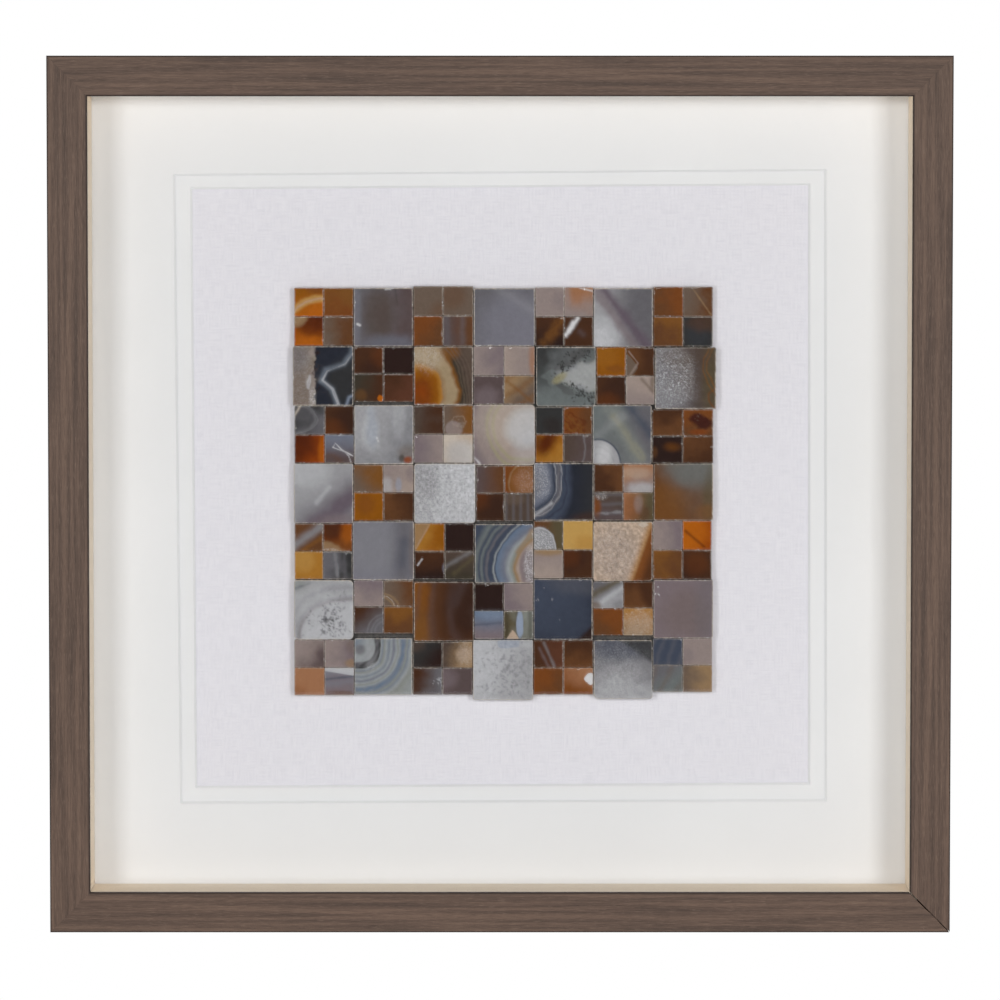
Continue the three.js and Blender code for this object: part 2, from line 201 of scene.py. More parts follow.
# %% Helper: shader recipes
class Finish:
    """A material with a Principled shader and short ways to add and join nodes."""

    def __init__(self, name, **values):
        self.material = bpy.data.materials.new(name)
        self.material.use_nodes = True
        self.nodes = self.material.node_tree.nodes
        self.links = self.material.node_tree.links
        self.shader = self.nodes["Principled BSDF"]
        for socket, value in values.items():
            self.shader.inputs[socket.replace("_", " ")].default_value = value

    def node(self, kind, inputs=None, **settings):
        made = self.nodes.new("ShaderNode" + kind)
        for key, value in settings.items():
            setattr(made, key, value)
        for socket, value in (inputs or {}).items():
            self.feed(value, made.inputs[socket])
        return made

    def feed(self, value, socket):
        if hasattr(value, "links"):
            self.links.new(value, socket)
        else:
            socket.default_value = value

    def place(self, scale=(1, 1, 1), output="Object", turn=(0, 0, 0)):
        """Object or UV coordinates, stretched and turned."""
        source = self.node("TexCoord").outputs[output]
        mapping = self.node("Mapping", {"Vector": source})
        mapping.inputs["Scale"].default_value = scale
        mapping.inputs["Rotation"].default_value = turn
        return mapping.outputs[0]

    def noise(self, where, scale, detail=4, rough=0.55):
        inputs = {"Vector": where, "Scale": scale, "Detail": detail, "Roughness": rough}
        return self.node("TexNoise", inputs).outputs["Fac"]

    def ramp(self, fac, stops, interpolation="LINEAR"):
        made = self.node("ValToRGB", {"Fac": fac})
        ramp = made.color_ramp
        ramp.interpolation = interpolation
        while len(ramp.elements) < len(stops):
            ramp.elements.new(0.5)
        for element, (place, colour) in zip(ramp.elements, stops):
            element.position = place
            element.color = (*colour, 1)
        return made.outputs["Color"]

    def mix(self, fac, a, b, blend="MIX"):
        made = self.node("Mix", data_type="RGBA", blend_type=blend)
        self.feed(fac, made.inputs[0])
        for value, socket in ((a, made.inputs[6]), (b, made.inputs[7])):
            self.feed(value if hasattr(value, "links") else (*value, 1), socket)
        return made.outputs[2]

    def math(self, operation, a, b=0.0):
        made = self.node("Math", operation=operation)
        self.feed(a, made.inputs[0])
        self.feed(b, made.inputs[1])
        return made.outputs[0]

    def colour(self, value):
        self.links.new(value, self.shader.inputs["Base Color"])

    def rough(self, fac, low, high):
        made = self.node("MapRange", {"Value": fac, "To Min": low, "To Max": high})
        self.links.new(made.outputs[0], self.shader.inputs["Roughness"])

    def bump(self, height, strength, distance):
        made = self.node("Bump", {"Height": height, "Strength": strength, "Distance": distance})
        self.links.new(made.outputs[0], self.shader.inputs["Normal"])


def srgb(red, green, blue):
    """Linear colour of an sRGB colour given as 0 to 255."""
    c = np.array([red, green, blue]) / 255
    return tuple(np.where(c <= 0.04045, c / 12.92, ((c + 0.055) / 1.055) ** 2.4))


# %% Floor finish
floor_finish = Finish("studio_floor", Roughness=0.9)
floor_cloud = floor_finish.noise(floor_finish.place(), 3, detail=3)
floor_finish.colour(floor_finish.ramp(floor_cloud, [(0.3, (0.86, 0.86, 0.86)), (0.7, (0.9, 0.9, 0.9))]))
floor.data.materials.append(floor_finish.material)

# %% [markdown]
# ## Rails
#
# A rail is one section carried along its length. Its ends are cut at 45 degrees: a point
# of the section ends as much earlier as it lies further in. The section has an eased
# front edge on both sides and a rabbet behind the lip. A plain extrusion would do, but a
# grid of section points by stations lets the surface carry a UV map that runs along the
# grain, so one wood finish serves all four rails.

# %% Rail section and mitred rails
RAIL_WIDTH = 27.3 * MM
RAIL_DEPTH = -FRONT_Y
LIP_WIDTH = 6 * MM
LIP_THICKNESS = 4 * MM
EDGE_RADIUS = 1.0 * MM
STATIONS = 90
FACE_POINTS, SIDE_POINTS, ROUND_POINTS = 24, 10, 5
CLOSED_GAP = 0.03 * MM


def rail_section():
    """Closed outline: the first value runs inwards from the outer edge, the second back."""
    w, d, r = RAIL_WIDTH, RAIL_DEPTH, EDGE_RADIUS
    face = np.linspace(r, w - r, FACE_POINTS + 2)[1:-1]
    side = np.linspace(d, r, SIDE_POINTS + 2)[1:-1]
    a = np.linspace(0, math.pi / 2, ROUND_POINTS)
    return np.concatenate(
        [
            [[0, d]],
            np.stack([np.zeros(SIDE_POINTS), side], axis=1),
            np.stack([r - r * np.cos(a), r - r * np.sin(a)], axis=1),
            np.stack([face, np.zeros(FACE_POINTS)], axis=1),
            np.stack([w - r + r * np.sin(a), r - r * np.cos(a)], axis=1),
            [[w, LIP_THICKNESS], [w - LIP_WIDTH, LIP_THICKNESS], [w - LIP_WIDTH, d]],
        ]
    )


def closed(u):
    """Gap of a closed mitre, at distances u from the outer edge."""
    return np.full_like(u, CLOSED_GAP)


def sprung(u):
    """Gap of the mitre that has come apart: open at the inner half and at the tip."""
    return MM * np.interp(u / MM, [0, 6, 7.5, 13.5, 15, 28], [0.6, 0.6, 0.05, 0.05, 0.8, 0.9])


def rail(name, corner, along, inwards, length, gaps):
    """A rail from a corner of the frame. Each point is corner + t along + u inwards + v back,
    with t from u at the start to length - u at the end, which is the mitre."""
    section = rail_section()
    count = len(section)
    t = np.linspace(0, 1, STATIONS)[:, None]
    u, v = section[:, 0][None, :], section[:, 1][None, :]
    first = u + gaps[0](u) / math.sqrt(2)
    last = length - u - gaps[1](u) / math.sqrt(2)
    run = first + t * (last - first)
    along, inwards, back = np.array(along, float), np.array(inwards, float), np.array([0, 1.0, 0])
    points = np.array(corner, float) + run[..., None] * along + u[..., None] * inwards + v[..., None] * back
    s, k = np.meshgrid(np.arange(STATIONS - 1), np.arange(count), indexing="ij")
    k2 = (k + 1) % count
    quads = np.stack([s * count + k, s * count + k2, (s + 1) * count + k2, (s + 1) * count + k], axis=-1)
    faces = quads.reshape(-1, 4).tolist()
    faces.append(list(range(count))[::-1])
    faces.append([(STATIONS - 1) * count + i for i in range(count)])
    made = mesh_object(name, points.reshape(-1, 3), faces)
    wrap = np.concatenate([[0], np.cumsum(np.linalg.norm(np.diff(section, axis=0), axis=1))])
    grain = np.stack([run, np.broadcast_to(wrap[None, :], run.shape)], axis=-1).reshape(-1, 2)
    layer = made.data.uv_layers.new(name="grain")
    loop_vertex = np.empty(len(made.data.loops), dtype=int)
    made.data.loops.foreach_get("vertex_index", loop_vertex)
    layer.data.foreach_set("uv", grain[loop_vertex].ravel())
    return made


left_x, right_x = -FRAME_WIDTH / 2, FRAME_WIDTH / 2
bottom_z, top_z = MIDDLE_Z - FRAME_HEIGHT / 2, MIDDLE_Z + FRAME_HEIGHT / 2
RIGHT, UP = np.array([1, 0, 0]), np.array([0, 0, 1])
rails = [
    rail("rail_top_wood", (left_x, FRONT_Y, top_z), RIGHT, -UP, FRAME_WIDTH, (closed, closed)),
    rail("rail_bottom_wood", (right_x, FRONT_Y, bottom_z), -RIGHT, UP, FRAME_WIDTH, (sprung, closed)),
    rail("rail_left_wood", (left_x, FRONT_Y, bottom_z), UP, RIGHT, FRAME_HEIGHT, (closed, closed)),
    rail("rail_right_wood", (right_x, FRONT_Y, top_z), -UP, -RIGHT, FRAME_HEIGHT, (closed, sprung)),
]
for made, node in zip(rails, ("rail_top", "rail_bottom", "rail_left", "rail_right")):
    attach(made, "root")
    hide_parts(node)
print("rails have", len(rails[0].data.polygons), "faces each")

# %% [markdown]
# The wood is stained taupe brown. Its grain runs along each rail in fine streaks with
# broader light and dark bands, and a few short pale flecks. Noise stretched twenty times
# along the grain gives the streaks. The pattern reads the UV map, where the first value
# is the way along the rail in metres and the second the way round its section. The
# eased front edges and the inner face of the lip are painted darker.

# %% Rail finish
wood = Finish("taupe_wood", Specular_IOR_Level=0.35)
streaks = wood.noise(wood.place((70, 1400, 1), "UV"), 1, detail=5, rough=0.75)
bands = wood.noise(wood.place((7, 240, 1), "UV"), 1, detail=3)
flecks = wood.noise(wood.place((130, 2300, 1), "UV"), 1, detail=2)
body = wood.ramp(bands, [(0.34, srgb(82, 63, 52)), (0.5, srgb(100, 78, 65)), (0.66, srgb(116, 92, 77))])
lines = wood.ramp(streaks, [(0.3, (0.5, 0.5, 0.5)), (0.48, (0.85, 0.85, 0.85)), (0.68, (1.0, 1.0, 1.0))])
grained = wood.mix(1.0, body, lines, "MULTIPLY")
pale = wood.ramp(flecks, [(0.56, (0, 0, 0)), (0.68, (1, 1, 1))])
flecked = wood.mix(wood.math("MULTIPLY", pale, 0.25), grained, srgb(150, 126, 108))
across = wood.node("SeparateXYZ", {"Vector": wood.place(output="UV")}).outputs["Y"]
# The eased edges and the lip's inner face are painted darker here.
outer_gap = wood.math("ABSOLUTE", wood.math("SUBTRACT", across, RAIL_DEPTH - 0.6 * EDGE_RADIUS))
on_outer = wood.math("LESS_THAN", outer_gap, 1.1 * EDGE_RADIUS)
on_inner = wood.math("GREATER_THAN", across, RAIL_DEPTH + RAIL_WIDTH - 1.5 * EDGE_RADIUS)
edges = wood.math("MULTIPLY", wood.math("MAXIMUM", on_outer, on_inner), 0.72)
wood.colour(wood.mix(edges, flecked, srgb(44, 33, 29)))
wood.rough(streaks, 0.7, 0.45)
wood.bump(streaks, 0.35, 0.0003)
for made in rails:
    made.data.materials.append(wood.material)

# %% [markdown]
# ## Glazing, card and linen
#
# These pieces are flat sheets in the real frame too, so the CAD solids stay and get
# their finishes: clear glass, cream card, off-white mat board with a fine tooth, linen
# with its threads, brown hardboard and planed pine.


# %% Finishes of the sheets
def dress(finish, *nodes):
    """Puts a finish on CAD nodes that keep their shape."""
    for node in nodes:
        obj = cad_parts[node]
        obj.data.materials.clear()
        obj.data.materials.append(finish.material)


glass = Finish("clear_glass", Base_Color=(1, 1, 1, 1), Roughness=0.0, IOR=1.5, Alpha=0.06,
               Transmission_Weight=1.0)
dress(glass, "glazing")

mat = Finish("mat_board", Roughness=0.95, Specular_IOR_Level=0.2)
mat_tooth = mat.noise(mat.place(), 900, detail=3)
mat_cloud = mat.noise(mat.place(), 6, detail=2)
mat_tone = mat.ramp(mat_cloud, [(0.3, srgb(234, 235, 236)), (0.7, srgb(238, 239, 240))])
mat.colour(mat.mix(0.04, mat_tone, mat.ramp(mat_tooth, [(0.35, (0.6, 0.6, 0.6)), (0.65, (1, 1, 1))])))
mat.bump(mat_tooth, 0.15, 0.0002)
dress(mat, "outer_mat", "inner_mat")

card = Finish("cream_card", Roughness=0.9, Specular_IOR_Level=0.2)
card_tooth = card.noise(card.place(), 700, detail=3)
card.colour(card.ramp(card_tooth, [(0.3, srgb(246, 230, 208)), (0.7, srgb(252, 238, 218))]))
card.bump(card_tooth, 0.15, 0.0002)
dress(card, "spacer_top", "spacer_bottom", "spacer_left", "spacer_right")

linen = Finish("pale_linen", Roughness=0.95, Sheen_Weight=0.15, Specular_IOR_Level=0.2)
THREADS = 2600  # threads for each metre
thread_inputs = {
    "Vector": linen.place(),
    "Scale": THREADS / 20,
    "Distortion": 1.2,
    "Detail": 2.0,
    "Detail Scale": 0.6,
}
warp_wave, weft_wave = (
    linen.node("TexWave", thread_inputs, bands_direction=direction).outputs["Fac"] for direction in "XZ"
)
weave = linen.math("MULTIPLY", warp_wave, weft_wave)
slub_x = linen.noise(linen.place((90, 1, 1800)), 1, detail=2)
slub_z = linen.noise(linen.place((1800, 1, 90)), 1, detail=2)
slubs = linen.math("ADD", slub_x, slub_z)
linen_stops = [(0.8, srgb(225, 224, 231)), (1.0, srgb(229, 228, 235)), (1.2, srgb(233, 232, 238))]
linen_tone = linen.ramp(slubs, linen_stops)
linen.colour(linen.mix(linen.math("MULTIPLY", weave, 0.25), linen_tone, srgb(236, 235, 240)))
linen.bump(weave, 0.3, 0.0002)
dress(linen, "linen_board")

board = Finish("brown_hardboard", Roughness=0.85)
board_fibre = board.noise(board.place(), 400, detail=5)
board.colour(board.ramp(board_fibre, [(0.3, srgb(126, 100, 72)), (0.7, srgb(156, 128, 96))]))
board.bump(board_fibre, 0.2, 0.0003)
dress(board, "backing_board")

pine = Finish("planed_pine", Roughness=0.6)
pine_grain = pine.noise(pine.place((4, 160, 160)), 1, detail=4)
pine_stops = [(0.3, srgb(178, 138, 92)), (0.55, srgb(206, 170, 124)), (0.8, srgb(216, 184, 140))]
pine.colour(pine.ramp(pine_grain, pine_stops))
pine.bump(pine_grain, 0.2, 0.0003)
dress(pine, "hanging_cleat")
print("sheets dressed")

# %% [markdown]
# ## Agate
#
# An agate shows bands that once lined a hollow in the rock: each band follows the one
# outside it. So a figure is painted here as colour over distance from a point, with the
# distance bent by smooth noise. Patches, straight faults, veins, specks and crystals are
# laid over that. A picture of a stone would be quicker, but a recipe is seeded, can be
# read and changed, and stays sharp at any scale.

# %% Helper: smooth noise
def smooth(x):
    """Zero below 0, one above 1, and 3x^2 - 2x^3 between."""
    x = np.clip(x, 0, 1)
    return x * x * (3 - 2 * x)


def cloud(x, z, salt, octaves=3):
    """Noise between about -1 and 1. Random numbers sit at whole-number places and are
    blended with smooth weights; each octave is half as large and twice as fine."""
    total = np.zeros_like(x)
    for octave in range(octaves):
        fine = 2.0**octave
        column, row = np.floor(x * fine), np.floor(z * fine)
        across, down = smooth(x * fine - column), smooth(z * fine - row)
        value = 0
        for i, weight_x in ((0, 1 - across), (1, across)):
            for j, weight_z in ((0, 1 - down), (1, down)):
                seed = (column + i) * 127.1 + (row + j) * 311.7 + (salt + octave) * 74.7
                number = np.modf(np.abs(np.sin(seed)) * 43758.5453)[0]
                value = value + weight_x * weight_z * (2 * number - 1)
        total = total + value / fine
    return total / 1.4


# %% Tones of the stones
TONES = {
    name: np.array(srgb(*rgb))
    for name, rgb in {
        "white": (222, 222, 224), "frost": (190, 191, 195), "silver": (164, 164, 167),
        "ash": (138, 138, 142), "smoke": (106, 104, 109), "charcoal": (54, 54, 54),
        "black": (46, 31, 28), "mist": (156, 161, 163), "dusk": (122, 131, 143),
        "reed": (140, 143, 138), "blue grey": (116, 120, 134), "lavender": (124, 123, 133),
        "pale blue": (148, 160, 180), "blue": (104, 120, 142), "slate": (68, 75, 91),
        "navy": (42, 45, 55), "grey green": (112, 118, 118), "sage": (138, 142, 136),
        "mauve": (126, 113, 117), "purple": (98, 84, 96), "dark mauve": (92, 78, 78),
        "rose": (150, 136, 132), "blush": (166, 150, 141), "taupe": (110, 94, 82),
        "dark taupe": (84, 70, 62), "straw": (158, 152, 118), "olive": (92, 82, 60),
        "dark olive": (64, 58, 48), "cream": (204, 192, 178), "sand": (190, 168, 148),
        "bone": (164, 144, 114), "tan": (152, 124, 92), "peach": (164, 116, 84),
        "gold": (170, 118, 48), "yellow": (196, 156, 88), "amber": (144, 86, 18),
        "orange": (182, 98, 20), "flame": (142, 64, 14), "ember": (126, 64, 18),
        "rust": (122, 70, 32), "ochre": (126, 82, 38), "red": (86, 36, 14), "wine": (60, 28, 26),
        "red brown": (94, 58, 42), "brown": (102, 66, 40), "dark brown": (74, 46, 30),
    }.items()
}
print(len(TONES), "tones")


# %% Helper: the figure of one stone
class Slab:
    """The polished face of one stone: u runs right and v runs down, both from 0 to 1.
    Each call lays one more thing over the colours and hands the slab back."""

    def __init__(self, u, v, seed):
        self.u, self.v, self.seed, self.salt = u, v, seed, 0
        self.rgb = np.zeros(u.shape + (3,))
        self.crystal = np.zeros_like(u)
        self.random = np.random.default_rng(seed)

    def cloud(self, scale, octaves=3):
        """Noise with about as many lumps across the stone as the scale says."""
        self.salt += 7
        return cloud(self.u * scale, self.v * scale, self.seed * 31 + self.salt, octaves)

    def lay(self, tone, cover):
        """Moves the colour towards a tone, all the way where the cover is 1."""
        self.rgb += np.clip(cover, 0, 1)[..., None] * (TONES[tone] - self.rgb)
        return self

    def along(self, point, angle):
        """Distance past a point in a direction in degrees: 0 is right, 90 is down."""
        a = math.radians(angle)
        return (self.u - point[0]) * math.cos(a) + (self.v - point[1]) * math.sin(a)

    def wash(self, first, last, angle=0, cloudy=0.3):
        """A slow change of tone across the stone."""
        self.rgb[:] = TONES[first]
        return self.lay(last, smooth(self.along((0.5, 0.5), angle) + 0.5 + cloudy * self.cloud(2.2)))

    def distance(self, at, size=(1, 1), turn=0, power=2.0, bend=0.0):
        """(|du/a|^p + |dv/b|^p)^(1/p) from a point, bent by noise. Power 1 gives a
        diamond, 2 an ellipse, and more a rounded box."""
        p = np.abs(self.along(at, turn) / size[0]) ** power
        q = np.abs(self.along(at, turn + 90) / size[1]) ** power
        return (p + q) ** (1 / power) + bend * self.cloud(4)

    def patch(self, tone, at, size, soft=0.5, turn=0, cover=1.0, bend=0.15, power=2.0):
        """An area round a point with a soft edge."""
        r = self.distance(at, size, turn, power, bend)
        return self.lay(tone, cover * smooth((1 + soft - r) / (2 * soft)))

    def rings(self, at, stops, size=(1, 1), turn=0, power=2.0, bend=0.04):
        """Colour over distance: stops are pairs of a distance and the tone there."""
        r = self.distance(at, size, turn, power, bend)
        places = [place for place, tone in stops]
        tones = np.array([TONES[tone] for place, tone in stops])
        self.rgb = np.stack([np.interp(r, places, tones[:, i]) for i in range(3)], axis=-1)
        return self

    def arcs(self, tone, at, radii, width=0.02, cover=0.7, size=(1, 1), turn=0, power=2.0, bend=0.04):
        """Thin lines at some distances from a point."""
        r = self.distance(at, size, turn, power, bend)
        line = sum(np.exp(-(((r - radius) / width) ** 2)) for radius in radii)
        return self.lay(tone, cover * line)

    def stripes(self, tone, angle, count, cover=0.4, bend=0.6):
        """Soft straight bands across a direction."""
        phase = count * self.along((0, 0), angle) * 2 * math.pi + bend * 3 * self.cloud(2)
        return self.lay(tone, cover * (0.5 + 0.5 * np.sin(phase)) ** 2)

    def beyond(self, tone, point, angle, soft=0.05, cover=1.0, ragged=0.0):
        """Everything past a straight line through a point, in a direction."""
        way = self.along(point, angle) + ragged * self.cloud(9)
        return self.lay(tone, cover * smooth(way / soft + 0.5))

    def way_to(self, start, end):
        """Distance to the nearest point of a straight stretch: start + s (end - start),
        with s the share of the stretch that lies nearest, kept between 0 and 1."""
        run, drop = end[0] - start[0], end[1] - start[1]
        share = ((self.u - start[0]) * run + (self.v - start[1]) * drop) / (run**2 + drop**2)
        share = np.clip(share, 0, 1)
        return np.hypot(self.u - start[0] - share * run, self.v - start[1] - share * drop)

    def vein(self, tone, start, end, width=0.02, cover=0.9, wave=0.02):
        """A line from one point to another."""
        gap = self.way_to(start, end) + wave * self.cloud(5)
        return self.lay(tone, cover * np.exp(-((gap / width) ** 2)))

    def course(self, tone, points, width=0.02, cover=0.9, wave=0.02):
        """A smoother line through several points, by the nearest of its stretches."""
        nearest = np.minimum.reduce([self.way_to(a, b) for a, b in zip(points[:-1], points[1:])])
        gap = nearest + wave * self.cloud(3, 2)
        return self.lay(tone, cover * np.exp(-((gap / width) ** 2)))

    def specks(self, tone, count, size, at=(0.5, 0.5), spread=0.3, cover=0.8):
        """Small ovals scattered about a point, each turned its own way."""
        for spot in self.random.normal(0, spread, (count, 2)) + np.array(at):
            turn, radius = self.random.uniform(0, 180), size * self.random.uniform(0.5, 1.3)
            r = np.hypot(self.along(spot, turn) / 1.5, self.along(spot, turn + 90) / 0.7) / radius
            self.lay(tone, cover * np.exp(-(r**4)))
        return self

    def fringe(self, tone, groups, cover=0.85):
        """Specks in several groups: how many, how large, where and how spread."""
        for count, size, at, spread in groups:
            self.specks(tone, count, size, at, spread, cover)
        return self

    def grain(self, amount, scale=22):
        """Fine light and dark mottling."""
        self.rgb *= np.clip(1 + amount * self.cloud(scale, 2), 0.2, 2)[..., None]
        return self

    def druse(self, at, size, cover=0.8, turn=0, soft=0.4, light="frost", dark="ash"):
        """Small crystals: lumps of two tones, and an area where the finish draws facets."""
        r = self.distance(at, size, turn, 2.0, 0.25)
        area = cover * smooth((1 + soft - r) / (2 * soft))
        lumps = self.cloud(26, 2)
        self.lay(dark, 0.4 * area * smooth(0.3 - 1.5 * lumps))
        self.lay(light, 0.5 * area * smooth(1.5 * lumps + 0.2))
        self.crystal = np.maximum(self.crystal, area)
        return self


print("figures ready")

# %% [markdown]
# The large stones were each chosen for their figure, so each has a recipe of its own,
# written from the look of the real stone in a few strokes: what its broad areas are,
# which way its bands curve, and where it is crystalline.

